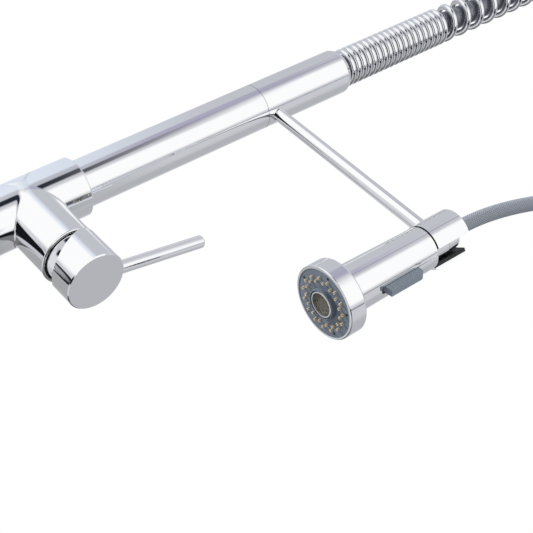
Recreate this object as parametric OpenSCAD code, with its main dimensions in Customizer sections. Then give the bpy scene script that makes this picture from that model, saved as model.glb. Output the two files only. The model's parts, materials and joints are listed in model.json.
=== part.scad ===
// Pre rinse kitchen faucet with a spring arch, a swivelling holder arm and a pull-down spray head.
// The origin is on the deck surface, on the column's axis. +Z is up, +X is where the arm points.
// All sizes are in millimetres and all angles in degrees.

/* [Deck mounting] */
// Diameter of the ring that stands on the deck
base_d = 54; // [50:1:64]
// Height of that ring above its gasket
base_h = 6.5; // [4:0.5:10]
// Thickness of the gasket between ring and deck
gasket_t = 1.5; // [1:0.25:3]
// Outer diameter of the threaded shank
shank_d = 32; // [30:0.5:33]
// Bore of the shank, for the two supply tails
shank_bore = 26; // [24:0.5:27]
// Length of the shank below the deck
shank_len = 72; // [60:1:90]
// Length of the shank inside the body
shank_grip = 20; // [12:1:24]
// Room left for the deck between gasket and clamp seal
deck_room = 38; // [25:1:40]
// Diameter of the clamp washer
washer_d = 58; // [52:1:70]
// Thickness of the clamp washer
washer_t = 3; // [2:0.5:4]
// Width of the mounting nut over its flats
nut_flats = 46; // [42:1:50]
// Height of the mounting nut
nut_h = 11; // [8:1:12]

/* [Main body] */
// Diameter of the main body
body_d = 45; // [43:0.5:50]
// Height of the main body's top above the deck
body_top = 122; // [120:1:135]
// Height of the mixer branch's axis above the deck
branch_z = 77; // [76:0.5:79]
// Diameter of the mixer branch
branch_d = 44; // [43:0.5:46]
// Distance from the column's axis to the end of the branch
branch_reach = 57.5; // [56:0.5:62]
// Depth of the cartridge seat in the branch
seat_depth = 35.5; // [34.5:0.5:36.5]
// Wall left round the recess in the branch's end
branch_rim = 0.8; // [0.6:0.1:1.4]
// Diameter of the two supply inlets
inlet_d = 9; // [8:0.5:10]
// Distance between the two supply inlets
inlet_pitch = 14; // [12:0.5:15]
// Depth of each supply inlet
inlet_depth = 12; // [10:1:14]
// Height of the cavity for the supply tails, above the deck
cavity_h = 41; // [36:1:44]

/* [Cartridge] */
// Diameter of the ceramic cartridge
cartridge_d = 35; // [34:0.5:36]
// Wall of the cartridge housing
cartridge_wall = 1.8; // [1.5:0.1:2]
// Diameter of the moving ceramic disc
disc_d = 20; // [18:1:21]
// Thickness of each ceramic disc
disc_t = 3.4; // [3:0.2:3.6]
// Side of the square stem
stem_w = 8.8; // [8:0.2:9]
// Length of the stem from its pin to the ball that moves the disc
stem_foot = 10; // [9:0.5:10.5]
// Radius of the domed ring under the handle
dome_r = 19.8; // [19.4:0.1:20]

/* [Handle] */
// Diameter of the handle cap
cap_d = 45.4; // [45:0.2:48]
// Length of the handle cap along the branch
cap_len = 30.9; // [30:0.5:34]
// Gap between the branch and the handle cap
cap_gap = 0.5; // [0.3:0.1:1]
// Thickness of the handle cap's front
cap_front = 12; // [11.8:0.1:12.6]
// Wall of the handle cap's skirt
cap_wall = 1.9; // [1.5:0.1:2]
// Slope of the skirt's cut, which is also the lift of the lever
lift_angle = 24; // [18:1:25]
// Turn of the lever from straight up, as it stands
mix_turn = 11; // [-30:1:30]
// Diameter of the lever rod
lever_d = 9.4; // [7:0.2:9.8]
// Distance of the lever's axis behind the cap's face
lever_inset = 6.3; // [6:0.1:6.8]
// Length of the lever rod outside the cap
lever_len = 73.5; // [50:0.5:100]
// Diameter of the grub screw
grub_d = 4; // [3:0.5:5]

/* [Riser and sleeve] */
// Diameter of the riser and of the sleeve above it
riser_d = 36; // [35.6:0.2:38]
// Wall of the riser
riser_wall = 1.5; // [1:0.1:2]
// Wall of the sleeve
sleeve_wall = 1.7; // [1.5:0.1:1.9]
// Height of the seam above the main body
riser_len = 165; // [120:1:220]
// Length of the sleeve above the seam
sleeve_len = 87.5; // [87:0.5:110]
// Length of the cone that ends the sleeve
sleeve_cone = 3.5; // [2:0.5:5]
// Depth of the riser's socket in the body
socket_depth = 16; // [14:1:18]
// Diameter of the swivel spindle
spindle_d = 25.8; // [25:0.2:26.6]
// Wall of the swivel spindle
spindle_wall = 2.7; // [2:0.1:3.5]
// Length of the swivel spindle above the seam
spindle_len = 62; // [52:1:62]
// Height of each swivel bush
bush_h = 9; // [6:0.5:10]

/* [Holder arm] */
// Diameter of the arm rod
arm_d = 10.4; // [8:0.2:12]
// Height of the arm's axis above the seam
arm_rise = 9.7; // [9:0.1:11]
// Distance between the column's axis and the spray head's axis
reach = 193; // [160:1:230]
// Outer diameter of the holder clip
clip_d = 34; // [32:0.5:38]
// Wall of the holder clip
clip_wall = 1.8; // [1.6:0.1:2.5]
// Height of the holder clip
clip_h = 30.3; // [28:0.1:32]
// Height of the clip below the arm's axis
clip_drop = 14.5; // [13:0.5:15]
// Opening angle of the holder clip
mouth_angle = 88; // [76:1:96]
// Length of the straight lip on the mouth's far side
lip_len = 7.3; // [4:0.1:8]
// Turn of the clip's mouth from straight out
mouth_turn = 9; // [-20:1:20]
// Diameter of the screw that holds the clip on the arm
clip_screw_d = 5; // [4:0.5:6]

/* [Spring] */
// Outer diameter of the spring
spring_d = 31; // [30.8:0.1:32]
// Diameter of the spring wire
wire_d = 5; // [3.5:0.1:5.2]
// Pitch of the close turns
close_pitch = 5.9; // [5.8:0.1:7]
// Pitch of the open turns
open_pitch = 17; // [13:0.5:22]
// Close turns at the foot of the spring
foot_turns = 19; // [6:1:24]
// Close turns at the far end of the spring
tail_turns = 4; // [2:1:6]
// Height from the sleeve to where the arch begins
spring_rise = 232.5; // [220:0.5:280]
// Distance between the two legs of the arch
arch_span = 214; // [180:2:240]
// Length of the arch's far leg, down to the spring cap
arch_drop = 24; // [22:0.5:60]
// Height of the spring cap
spring_cap_h = 17; // [12:0.5:24]
// Outer diameter of the guide tube inside the spring
guide_d = 18.4; // [16:0.2:18.6]
// Wall of the guide tube
guide_wall = 1; // [0.8:0.1:1.5]

/* [Hose] */
// Outer diameter of the hose
hose_d = 11; // [10:0.5:12]
// Bore of the hose
hose_bore = 7; // [6:0.5:7.5]

/* [Spray head] */
// Turn of the spray head in its clip, from straight out
head_turn = -9.5; // [-20:0.5:20]
// Diameter of the face ring
ring_d = 55; // [54.4:0.2:60]
// Height of the face ring
ring_h = 14.5; // [13.5:0.5:18]
// Rounding of the face ring's front edge
ring_round = 0.9; // [0.5:0.1:1.4]
// Rounding of the face ring's back edge
ring_back_round = 1.6; // [0.5:0.1:2]
// Diameter of the grey face plate
plate_d = 50.8; // [49.6:0.2:51.2]
// Thickness of the face plate
plate_t = 3.5; // [3:0.1:4]
// Length of the shell above the face ring
shell_len = 78.3; // [76:0.1:90]
// Diameter of the shell at the face ring
shell_d = 35.2; // [34.6:0.1:37]
// Diameter of the shell at its top
shell_top_d = 32.5; // [32:0.1:34]
// Bore of the shell
shell_bore = 28.4; // [28:0.1:28.8]
// Diameter of the neck in the clip
neck_d = 24; // [23:0.2:25]
// Length of the neck from the shell to the swivel seam
neck_len = 15.4; // [14:0.1:18]
// Height of the hose nut above the swivel seam
nut_rise = 11; // [9:0.5:12]
// Diameter of the hose nut at its top
nut_top_d = 22; // [18:0.5:23]
// Diameter of the stream collar
collar_d = 22.8; // [20:0.2:23]
// Height by which the stream collar stands out of the face plate
collar_rise = 3.2; // [1:0.1:5]
// Nubs in each of the two rings
nub_count = 15; // [8:1:15]
// Diameter of a nub
nub_d = 1.9; // [1.6:0.1:2.4]
// Height by which a nub stands out of the face plate
nub_rise = 1.9; // [0.5:0.1:3]
// Radius of the inner ring of nubs
nub_r_in = 17; // [15:0.1:17.4]
// Radius of the outer ring of nubs
nub_r_out = 19.8; // [19.6:0.1:20.4]
// Small vents near the plate's edge
vent_count = 5; // [3:1:8]
// Radius of the circle of vents
vent_r = 22.6; // [22.4:0.1:23]

/* [Spray button] */
// Length of the button
button_len = 32; // [30:0.5:34]
// Width of the button
button_w = 5.3; // [4.8:0.1:6.4]
// Distance from the head's axis to the button's outer face
button_rise = 23.3; // [21:0.1:25]
// Rounding of the button's upper corner
button_round = 4; // [1:0.5:5]
// Height of the button's lower end above the face ring
button_up = 26.4; // [25:0.2:28]
// Length by which the slot goes on below the button
slot_low = 3.4; // [1:0.2:5]
// Diameter of the button's pin
pin_d = 2; // [1.5:0.1:2.5]
// Diameter of the diverter piston
piston_d = 6; // [5:0.2:6.4]

/* [Hidden] */
$fn = 72;

// Clearances and thicknesses that repeat
thread_gap = 0.05;  // radial, between a thread and its hole
fit_gap = 0.1;      // between pieces that sit in or on each other
run_gap = 0.05;     // where a piece turns or slides on another
seam_gap = 0.3;     // along an axis, between faces of two moving bodies
over = 0.5;         // overshoot of a cut past the surface that it opens
seal_t = 1.2;       // rings and washers that only pack a joint
small_fn = 20;      // facets of the small holes and nubs, true circles all the same

// Deck
shank_r = shank_d / 2;
base_top = gasket_t + base_h;
shank_hole_r = shank_r + fit_gap;
clamp_seal_t = 2;
seal_z = -deck_room - clamp_seal_t;
washer_z = seal_z - washer_t;
nut_z = washer_z - nut_h;
base_round = 2.4;

// Main body
body_edge = 2;
socket_z = body_top - socket_depth;
nipple_thread_r = 5;
nipple_thread = 10;
nipple_z = socket_z - nipple_thread;
way_r = 3;                  // supply ways
outlet_r = 3.4;             // way out
way_drop = 7;               // of the supply ways below the branch's axis, and the outlet above it
way_z = branch_z - way_drop;
outlet_z = branch_z + way_drop;

// Hose coupling that turns on the outlet nipple
spigot_len = 12;
spigot_r = 4.6;
spigot_bore_r = 2.6;
collar_h = 2.5;
coupling_z = socket_z + collar_h + seam_gap;
coupling_len = 14;
coupling_r = 8;
barb_len = 12;
barb_r = hose_bore / 2 - run_gap;
barb_bore_r = barb_r - 1;
seal_groove = 0.8;
seal_pitch = 5;
hose_foot = coupling_z + coupling_len + fit_gap;

// Cartridge, as places along the branch
seat_r = cartridge_d / 2 + fit_gap;
housing_in_r = cartridge_d / 2 - cartridge_wall;
seat_x = branch_reach - seat_depth;
disc_x = seat_x + seal_t;
moving_x = disc_x + disc_t + run_gap;
carrier_x = moving_x + disc_t;
carrier_foot = 5.5;
nut_x = branch_reach - 11.5;
nut_len = 7.5;
nut_r = cartridge_d / 2 + 1.5;
nut_bore_r = 11.5;
recess_r = branch_d / 2 - branch_rim;
recess_depth = 3;
recess_x = branch_reach - recess_depth;
trim_t = 1.4;               // black ring on the recess's floor
tilt_x = branch_reach - 2.5;
ball_x = tilt_x - stem_foot;
ball_r = stem_w / 2 - 1.2;
hub_r = ball_r + 2;
hub_end_x = ball_x + 1.8;
housing_end = 3;
guide_neck_r = nut_bore_r - seam_gap;
guide_flange_r = housing_in_r - seam_gap;
guide_flange_x = carrier_x + carrier_foot + seam_gap;
guide_end_x = tilt_x + 3.5;
pivot_r = 1.5;
dome_foot_x = nut_x + nut_len + fit_gap;
dome_len = 9;
dome_end = branch_reach - tilt_x + dome_len;
stem_len = 22;

// Handle, as places along the branch
cap_r = cap_d / 2;
cap_x = branch_reach + cap_gap;
cap_face_x = cap_x + cap_len;
cap_edge = 0.8;
cavity_x = cap_face_x - cap_front;
cap_hub_x = tilt_x + 13;
cap_hub_r = 7.5;
// Bore of the domed ring, clear of the cap's hub when the lever is lifted
dome_bore_r = dome_end * tan(lift_angle) + cap_hub_r / cos(lift_angle) + seam_gap;
skirt_cut_z = 4;            // where the slanted cut starts, above the branch's axis
lever_x = cap_face_x - lever_inset;
lever_root = 9;
lever_tip = 1.4;
grub_x = tilt_x + stem_len - 3.5;
grub_len = 5;

// Column, as heights above the deck
riser_r = riser_d / 2;
riser_bore_r = riser_r - riser_wall;
seam_z = body_top + riser_len;
plug_len = 24;
spindle_r = spindle_d / 2;
spindle_bore_r = spindle_r - spindle_wall;
spindle_top = seam_z + spindle_len;
sleeve_bore_r = riser_r - sleeve_wall;
sleeve_fit_r = sleeve_bore_r - fit_gap / 2;
sleeve_lip_r = sleeve_bore_r - 1.3;
sleeve_lip_h = 8;
sleeve_end_r = riser_r - 1.6;
sleeve_top = seam_z + sleeve_len;
arm_z = seam_z + arm_rise;
ring_z = seam_z + seal_t;
ring_len = 2 * (arm_rise - seal_t);
lower_bush_z = ring_z + ring_len + fit_gap;
clip_groove = 1;
circlip_t = 1.5;
circlip_z = spindle_top - 4;
circlip_mouth = 50;
upper_bush_z = circlip_z - bush_h - seam_gap;
seat_plug = 24;

// Holder arm
arm_r = arm_d / 2;
stud_r = 3;
stud_x = spindle_r + run_gap + fit_gap;
arm_root_x = riser_r - sleeve_wall;
clip_r = clip_d / 2;
clip_in_r = clip_r - clip_wall;
liner_r = clip_in_r - fit_gap / 2;
liner_bore_r = neck_d / 2 + 0.35;
liner_drop = 0.5;
liner_lip = 2;              // degrees by which the liner stands past the clip's near lip
liner_past = 0.4;           // the same past its straight lip
clip_x = reach - clip_r;    // outside of the clip, where the arm meets it
screw_r = clip_screw_d / 2;
screw_len = 11;
screw_head_r = screw_r + 1.8;
screw_head_h = 0.9;
screw_head_x = clip_x + clip_wall - screw_head_h;

// Spring arch
coil_r = (spring_d - wire_d) / 2;
guide_r = guide_d / 2;
guide_grip = 16;
guide_foot = sleeve_top - guide_grip;
arch_z = sleeve_top + spring_rise;
arch_r = arch_span / 2;
cap_top = arch_z - arch_drop;
cap_bottom = cap_top - spring_cap_h;
cap_floor = 5;
cap_round = 1.2;
hose_r = hose_d / 2;

// Spray head, as heights above the deck
clip_bottom = arm_z - clip_drop;
shell_top = clip_bottom - 0.9;
ring_top = shell_top - shell_len;
face_z = ring_top - ring_h;
neck_seam = shell_top + neck_len;
neck_r = neck_d / 2;
neck_spigot_r = neck_r - 2.6;
neck_bore_r = 4;
nut_spigot_r = hose_r + 0.5;
nut_spigot = 10;
nut_foot_z = neck_seam - nut_spigot;
washer_foot_z = nut_foot_z - seal_t - fit_gap;
head_bore_r = shell_bore / 2;
shell_spigot = 4;
shell_spigot_r = head_bore_r + 1.8;
web_t = 5;                  // end wall of the shell, and length of the neck's spigot in it
face_cavity = ring_h - 5.5;
plate_z = face_z + 0.4;
pad_z = plate_z + plate_t + fit_gap;
pad_t = 2;
diffuser_z = pad_z + pad_t + fit_gap;
diffuser_t = face_z + face_cavity - diffuser_z - fit_gap;
face_seal_z = face_z + face_cavity + fit_gap;
face_seal_w = 1.5;
core_z = face_seal_z + seal_t + fit_gap;
core_r = head_bore_r - fit_gap;
collar_r = collar_d / 2;
collar_in_r = collar_r - 1.5;
collar_z = plate_z - collar_rise;
aerator_r = collar_in_r - fit_gap;
aerator_in_r = aerator_r - 1.1;
aerator_h = 9;
mesh_r = aerator_in_r - fit_gap;

// Spray button and what it moves, as distances from the head's axis
button_z = ring_top + button_up;
button_gap = 0.5;
pin_z = button_z + button_len / 2;
pin_r = pin_d / 2;
pin_x = 11.6;
pin_grip = 2.4;             // length of the pin in each side of the water core
pocket_x = 9.8;
button_foot_x = 12.4;
button_web_x = pocket_x + 0.6;
button_web_h = 7.2;
pin_len = button_w + 2 * pin_grip;
seam_line_w = 0.5;          // the two fine grooves above the button
seam_line_x = head_bore_r + 1;
piston_r = piston_d / 2;
piston_drop = 10;           // of the diverter piston below the pin
piston_z = pin_z - piston_drop;
piston_root_x = -3;
piston_end_x = pocket_x + 0.4;
piston_bore_x = piston_root_x - 3;
boss_x = piston_end_x + seam_gap;
boss_r = 2;
core_top = button_z + button_len + 1;
valve_top = shell_top - web_t - fit_gap;
filter_t = 1;
filter_z = shell_top - web_t + fit_gap;

// Spring path: straight rise, half circle and straight drop, by distance from the sleeve
arch_len = PI * arch_r;
path_len = spring_rise + arch_len + arch_drop;
coil_start = wire_d / 2 + seam_gap;
coil_end = path_len - wire_d / 2 - seam_gap;
foot_len = foot_turns * close_pitch;
tail_len = tail_turns * close_pitch;
open_len = coil_end - coil_start - foot_len - tail_len;
open_turns = round(open_len / open_pitch);
spring_turns = foot_turns + open_turns + tail_turns;
curl_rings = 8;
wire_sides = 6;
spring_rings = spring_turns * curl_rings;

// Route of the free hose, from the hose nut up to the spring cap, as x and z
hose_route = [
    [193, 308], [193.2, 326], [195, 344], [198.9, 362], [204.8, 380], [212.6, 398], [221, 416],
    [227.8, 434], [231.6, 452], [231.9, 470], [229, 488], [224.2, 506], [219.3, 524], [215.6, 542],
    [214.2, 555], [214, 566]
];
hose_sides = 10;

// ---- helpers ----

// Tube that stands on the XY plane
module tube(outer, inner, h) {
    difference() {
        cylinder(h = h, r = outer);
        translate([0, 0, -over]) cylinder(h = h + 2 * over, r = inner);
    }
}

// Lays a piece that stands on Z along +X
module along_x() {
    rotate([0, 90, 0]) children();
}

// Places a piece on the mixer branch, at distance x from the column's axis
module on_branch(x) {
    translate([x, 0, branch_z]) along_x() children();
}

// Turns what is inside about the branch's axis, as the lever stands
module mixed() {
    translate([0, 0, branch_z]) rotate([-mix_turn, 0, 0]) translate([0, 0, -branch_z]) children();
}

// Cylinder along the tilt axis, which goes through the stem's pin
module tilt_rod(length, r) {
    mixed() translate([tilt_x, -length / 2, branch_z]) rotate([-90, 0, 0]) cylinder(h = length, r = r);
}

// Places a piece on the spray head's axis, turned as the head is turned
module on_head(z) {
    translate([reach, 0, z]) rotate([0, 0, head_turn]) children();
}

// Places a piece on the same axis, turned as the clip's mouth is turned
module in_clip(z) {
    translate([reach, 0, z]) rotate([0, 0, mouth_turn]) children();
}

// Cylinder across the head, along the pin of the button
module across_head(length, r) {
    on_head(pin_z) translate([pin_x, -length / 2, 0]) rotate([-90, 0, 0]) cylinder(h = length, r = r);
}

// Half section of a disc with its lower and upper edge rounded, to be turned about the axis
module disc_section(r_out, h, r_low, r_high) {
    square([r_out - r_low, h / 2]);
    translate([0, r_low]) square([r_out, h - r_low - r_high]);
    translate([0, h / 2]) square([r_out - r_high, h / 2]);
    translate([r_out - r_low, r_low]) circle(r = r_low);
    translate([r_out - r_high, h - r_high]) circle(r = r_high);
}

// Length of tube with flush ends
module pipe(outer, inner, h) {
    linear_extrude(height = h) difference() {
        circle(r = outer);
        circle(r = inner);
    }
}

// Tube along the spring's path, from height z0 on the rise to z1 on the far leg
module arch_pipe(outer, inner, z0, z1) {
    translate([0, 0, z0]) pipe(outer, inner, arch_z - z0);
    translate([arch_r, 0, arch_z]) rotate([90, 0, 0]) rotate_extrude(angle = 180) {
        translate([arch_r, 0]) difference() {
            circle(r = outer);
            circle(r = inner);
        }
    }
    translate([arch_span, 0, z1]) pipe(outer, inner, arch_z - z1);
}

// Wedge that opens a ring towards +X, by an angle
module mouth_wedge(angle, r, h) {
    far = 2 * r;
    side_x = far * cos(angle / 2);
    side_y = far * sin(angle / 2);
    translate([0, 0, -over]) linear_extrude(height = h + 2 * over) {
        polygon([[0, 0], [side_x, -side_y], [far, -side_y], [far, side_y], [side_x, side_y]]);
    }
}

// Closed tube through rings of points, as triangles
module skin(rings) {
    n = len(rings[0]);
    m = len(rings);
    walls = [
        for (i = [0 : m - 2])
            for (k = [0 : n - 1])
                for (half = [0, 1])
                    let (a = i * n + k, b = i * n + (k + 1) % n)
                        half == 0 ? [a, a + n, b] : [b, a + n, b + n]
    ];
    first = [for (k = [1 : n - 2]) [0, k, k + 1]];
    last = [for (k = [1 : n - 2]) [(m - 1) * n, (m - 1) * n + k + 1, (m - 1) * n + k]];
    polyhedron(points = [for (r = rings) each r], faces = concat(walls, first, last));
}

function unit(v) = v / norm(v);

// ---- deck side ----

module base_ring() {
    color("silver") translate([0, 0, gasket_t]) difference() {
        rotate_extrude() disc_section(base_d / 2, base_h, 0.4, base_round);
        translate([0, 0, -over]) cylinder(h = base_h + 2 * over, r = shank_hole_r);
    }
}

module deck_gasket() {
    color("dimgray") tube(base_d / 2 - 2, shank_hole_r, gasket_t);
}

module mounting_shank() {
    color("darkkhaki") translate([0, 0, -shank_len]) {
        tube(shank_r, shank_bore / 2, shank_len + base_top + shank_grip);
    }
}

module clamp_seal() {
    color("dimgray") translate([0, 0, seal_z]) tube(washer_d / 2 - 1, shank_hole_r, clamp_seal_t);
}

module clamp_washer() {
    color("lightgray") translate([0, 0, washer_z]) tube(washer_d / 2, shank_hole_r, washer_t);
}

module mounting_nut() {
    color("darkkhaki") translate([0, 0, nut_z]) difference() {
        cylinder(h = nut_h, r = nut_flats / 2 / cos(30), $fn = 6);
        translate([0, 0, -over]) cylinder(h = nut_h + 2 * over, r = shank_r + thread_gap);
    }
}

// ---- main body ----

module main_body() {
    color("silver") difference() {
        union() {
            translate([0, 0, base_top]) cylinder(h = body_top - body_edge - base_top, r = body_d / 2);
            translate([0, 0, body_top - body_edge]) {
                cylinder(h = body_edge, r1 = body_d / 2, r2 = body_d / 2 - body_edge);
            }
            on_branch(0) cylinder(h = branch_reach, r = branch_d / 2);
        }
        // Thread for the shank, and the cavity above it
        translate([0, 0, base_top - over]) {
            cylinder(h = shank_grip + over + fit_gap, r = shank_r + thread_gap);
        }
        translate([0, 0, base_top]) cylinder(h = cavity_h - base_top, r = shank_bore / 2);
        // Supply inlets and their ways to the cartridge
        for (side = [-1, 1]) {
            translate([0, side * inlet_pitch / 2, 0]) {
                translate([0, 0, cavity_h - over]) cylinder(h = inlet_depth + over, r = inlet_d / 2);
                translate([0, 0, cavity_h]) cylinder(h = way_z - cavity_h, r = way_r);
                translate([0, 0, way_z]) along_x() cylinder(h = seat_x + over, r = way_r);
            }
        }
        // Way from the cartridge up to the outlet
        translate([0, 0, outlet_z]) along_x() cylinder(h = seat_x + over, r = outlet_r);
        translate([0, 0, outlet_z]) cylinder(h = nipple_z - outlet_z + over, r = outlet_r);
        translate([0, 0, nipple_z]) cylinder(h = nipple_thread + over, r = nipple_thread_r + thread_gap);
        // Socket for the riser
        translate([0, 0, socket_z]) cylinder(h = socket_depth + over, r = riser_r + thread_gap);
        // Seat of the cartridge, and thread for its nut
        on_branch(seat_x) cylinder(h = seat_depth + over, r = seat_r);
        on_branch(nut_x) cylinder(h = branch_reach - nut_x + over, r = nut_r + thread_gap);
        // Recess round the domed ring
        on_branch(recess_x) cylinder(h = recess_depth + over, r = recess_r);
    }
}

module outlet_nipple() {
    top = nipple_thread + collar_h + spigot_len;
    color("darkkhaki") translate([0, 0, nipple_z]) difference() {
        union() {
            cylinder(h = nipple_thread, r = nipple_thread_r);
            translate([0, 0, nipple_thread]) cylinder(h = collar_h, r = coupling_r);
            cylinder(h = top, r = spigot_r);
        }
        translate([0, 0, -over]) cylinder(h = top + 2 * over, r = spigot_bore_r);
        for (k = [1, 2]) {
            translate([0, 0, nipple_thread + collar_h + k * seal_pitch - seal_t - fit_gap]) {
                tube(spigot_r + over, spigot_r - seal_groove, seal_t + 2 * fit_gap);
            }
        }
    }
}

module nipple_seals() {
    color("black") for (k = [1, 2]) {
        translate([0, 0, socket_z + collar_h + k * seal_pitch - seal_t]) {
            tube(spigot_r, spigot_r - seal_groove + run_gap, seal_t);
        }
    }
}

module hose_coupling() {
    color("darkkhaki") translate([0, 0, coupling_z]) difference() {
        union() {
            cylinder(h = coupling_len, r = coupling_r);
            cylinder(h = coupling_len + barb_len, r = barb_r);
        }
        translate([0, 0, -over]) cylinder(h = spigot_len + over, r = spigot_r + run_gap);
        cylinder(h = coupling_len + barb_len + over, r = barb_bore_r);
    }
}

module riser_seal() {
    color("black") translate([0, 0, socket_z]) tube(riser_r, riser_bore_r - 1.5, seal_t);
}

module riser_tube() {
    foot = socket_z + seal_t;
    color("gainsboro") translate([0, 0, foot]) tube(riser_r, riser_bore_r, seam_z - foot - seam_gap / 2);
}

// ---- cartridge ----

module seat_seals() {
    ring_w = 1.6;
    color("black") {
        for (side = [-1, 1]) {
            translate([0, side * inlet_pitch / 2, -way_drop]) on_branch(seat_x) {
                tube(way_r + ring_w, way_r, seal_t);
            }
        }
        translate([0, 0, way_drop]) on_branch(seat_x) tube(outlet_r + ring_w, outlet_r, seal_t);
        // Ring in the recess of the branch's end
        on_branch(recess_x) tube(recess_r - run_gap, nut_r + fit_gap, trim_t);
    }
}

module fixed_disc() {
    hole_h = disc_t + 2 * over;
    color("ivory") on_branch(disc_x) difference() {
        cylinder(h = disc_t, r = housing_in_r - fit_gap);
        for (side = [-1, 1]) {
            translate([way_drop, side * inlet_pitch / 2, -over]) cylinder(h = hole_h, r = way_r);
        }
        translate([-way_drop, 0, -over]) cylinder(h = hole_h, r = outlet_r);
    }
}

module moving_disc() {
    rim = 3;
    color("ivory") mixed() on_branch(moving_x) difference() {
        cylinder(h = disc_t, r = disc_d / 2);
        translate([0, 0, -over]) cylinder(h = disc_t / 2 + over, r = disc_d / 2 - rim);
    }
}

module disc_carrier() {
    color("white") mixed() difference() {
        union() {
            on_branch(carrier_x) cylinder(h = carrier_foot, r = disc_d / 2);
            on_branch(carrier_x) cylinder(h = hub_end_x - carrier_x, r = hub_r);
        }
        on_branch(ball_x - 2 * ball_r) cylinder(h = 4 * ball_r, r = ball_r + fit_gap);
    }
}

module cartridge_housing() {
    h = nut_x - disc_x;
    color("white") on_branch(disc_x) difference() {
        cylinder(h = h, r = cartridge_d / 2);
        translate([0, 0, -over]) cylinder(h = h - housing_end + over, r = housing_in_r);
        cylinder(h = h + over, r = nut_bore_r);
    }
}

// Turns with the lever and carries the pin that the stem tilts on
module stem_guide() {
    flange_t = nut_x - housing_end - guide_flange_x - seam_gap;
    stem_room = stem_w / 2 / cos(lift_angle) + (guide_end_x - tilt_x) * tan(lift_angle) + seam_gap;
    hub_room = hub_r + seam_gap;
    shift = stem_foot * sin(lift_angle) + seam_gap;
    color("white") difference() {
        mixed() difference() {
            union() {
                on_branch(guide_flange_x) cylinder(h = flange_t, r = guide_flange_r);
                on_branch(guide_flange_x) cylinder(h = guide_end_x - guide_flange_x, r = guide_neck_r);
            }
            translate([guide_flange_x - over, -hub_room, branch_z - hub_room]) {
                cube([hub_end_x + 1 - guide_flange_x + over, 2 * hub_room, 2 * hub_room + shift]);
            }
            translate([hub_end_x, -stem_w / 2 - fit_gap, branch_z - stem_room]) {
                cube([guide_end_x - hub_end_x + over, stem_w + 2 * fit_gap, 2 * stem_room]);
            }
        }
        tilt_rod(3 * guide_neck_r, pivot_r + thread_gap);
    }
}

module pivot_pin() {
    color("lightgray") tilt_rod(2 * guide_neck_r - 2, pivot_r);
}

module cartridge_stem() {
    neck = 1;
    root = stem_w / 4;
    color("lightgray") difference() {
        mixed() translate([tilt_x, 0, branch_z]) {
            // Ball and neck, turned in one piece
            translate([-stem_foot, 0, 0]) along_x() rotate_extrude() difference() {
                union() {
                    circle(r = ball_r);
                    square([ball_r - neck, stem_foot]);
                }
                translate([-2 * ball_r, -ball_r]) square(2 * ball_r);
            }
            translate([-root, -stem_w / 2, -stem_w / 2]) cube([stem_len + root, stem_w, stem_w]);
        }
        tilt_rod(2 * stem_w, pivot_r + run_gap);
    }
}

module cartridge_nut() {
    color("darkkhaki") on_branch(nut_x + fit_gap / 2) tube(nut_r, nut_bore_r, nut_len);
}

module dome_ring() {
    rim = branch_reach - tilt_x;
    foot = dome_foot_x - tilt_x;
    color("silver") on_branch(tilt_x) rotate_extrude() {
        translate([dome_bore_r, foot]) square([nut_r - dome_bore_r, rim - foot]);
        intersection() {
            circle(r = dome_r);
            translate([dome_bore_r, rim]) square([dome_r, dome_len]);
        }
    }
}

// ---- handle ----

module handle_cap() {
    socket = stem_w + 2 * run_gap;
    cut = 4 * cap_r;
    color("silver") mixed() translate([0, 0, branch_z]) difference() {
        union() {
            difference() {
                translate([cap_x, 0, 0]) along_x() cylinder(h = cap_len - cap_edge, r = cap_r);
                translate([cap_x - over, 0, 0]) along_x() {
                    cylinder(h = cavity_x - cap_x + over, r = cap_r - cap_wall);
                }
                // Slanted cut that lets the cap tilt over the branch
                translate([cap_x, 0, skirt_cut_z]) rotate([0, -lift_angle, 0]) {
                    translate([-cut, -cut / 2, -cut]) cube(cut);
                }
            }
            translate([cap_face_x - cap_edge, 0, 0]) along_x() {
                cylinder(h = cap_edge, r1 = cap_r, r2 = cap_r - cap_edge);
            }
            translate([cap_hub_x, 0, 0]) along_x() cylinder(h = cavity_x - cap_hub_x + over, r = cap_hub_r);
        }
        // Socket for the square stem
        translate([tilt_x, -socket / 2, -socket / 2]) cube([stem_len + fit_gap, socket, socket]);
        // Hole for the lever rod
        translate([lever_x, 0, lever_root]) cylinder(h = cap_d, r = lever_d / 2 + thread_gap);
        // Hole for the grub screw
        translate([grub_x, 0, 0]) rotate([-90, 0, 0]) cylinder(h = cap_d, r = grub_d / 2 + thread_gap);
    }
}

module lever_rod() {
    length = cap_r + lever_len - lever_root - fit_gap;
    color("silver") mixed() translate([lever_x, 0, branch_z + lever_root + fit_gap]) {
        rotate_extrude() disc_section(lever_d / 2, length, 0.2, lever_tip);
    }
}

module grub_screw() {
    key_depth = 2;
    color("dimgray") mixed() translate([grub_x, stem_w / 2 + 2 * run_gap, branch_z]) {
        rotate([-90, 0, 0]) difference() {
            cylinder(h = grub_len, r = grub_d / 2);
            translate([0, 0, grub_len - key_depth]) cylinder(h = key_depth + over, r = grub_d / 4, $fn = 6);
        }
    }
}

// ---- swivel ----

module swivel_spigot() {
    color("darkkhaki") difference() {
        union() {
            translate([0, 0, seam_z - plug_len]) cylinder(h = plug_len, r = riser_bore_r - thread_gap);
            translate([0, 0, seam_z - over]) cylinder(h = spindle_len + over, r = spindle_r);
        }
        translate([0, 0, seam_z - plug_len - over]) {
            cylinder(h = plug_len + spindle_len + 2 * over, r = spindle_bore_r);
        }
        translate([0, 0, circlip_z]) {
            tube(spindle_r + over, spindle_r - clip_groove, circlip_t + 2 * run_gap);
        }
    }
}

module slip_washer() {
    rim = 0.5;
    color("white") translate([0, 0, seam_z + run_gap]) {
        tube(sleeve_bore_r - rim, spindle_r + run_gap, seal_t - 2 * run_gap);
    }
}

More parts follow.
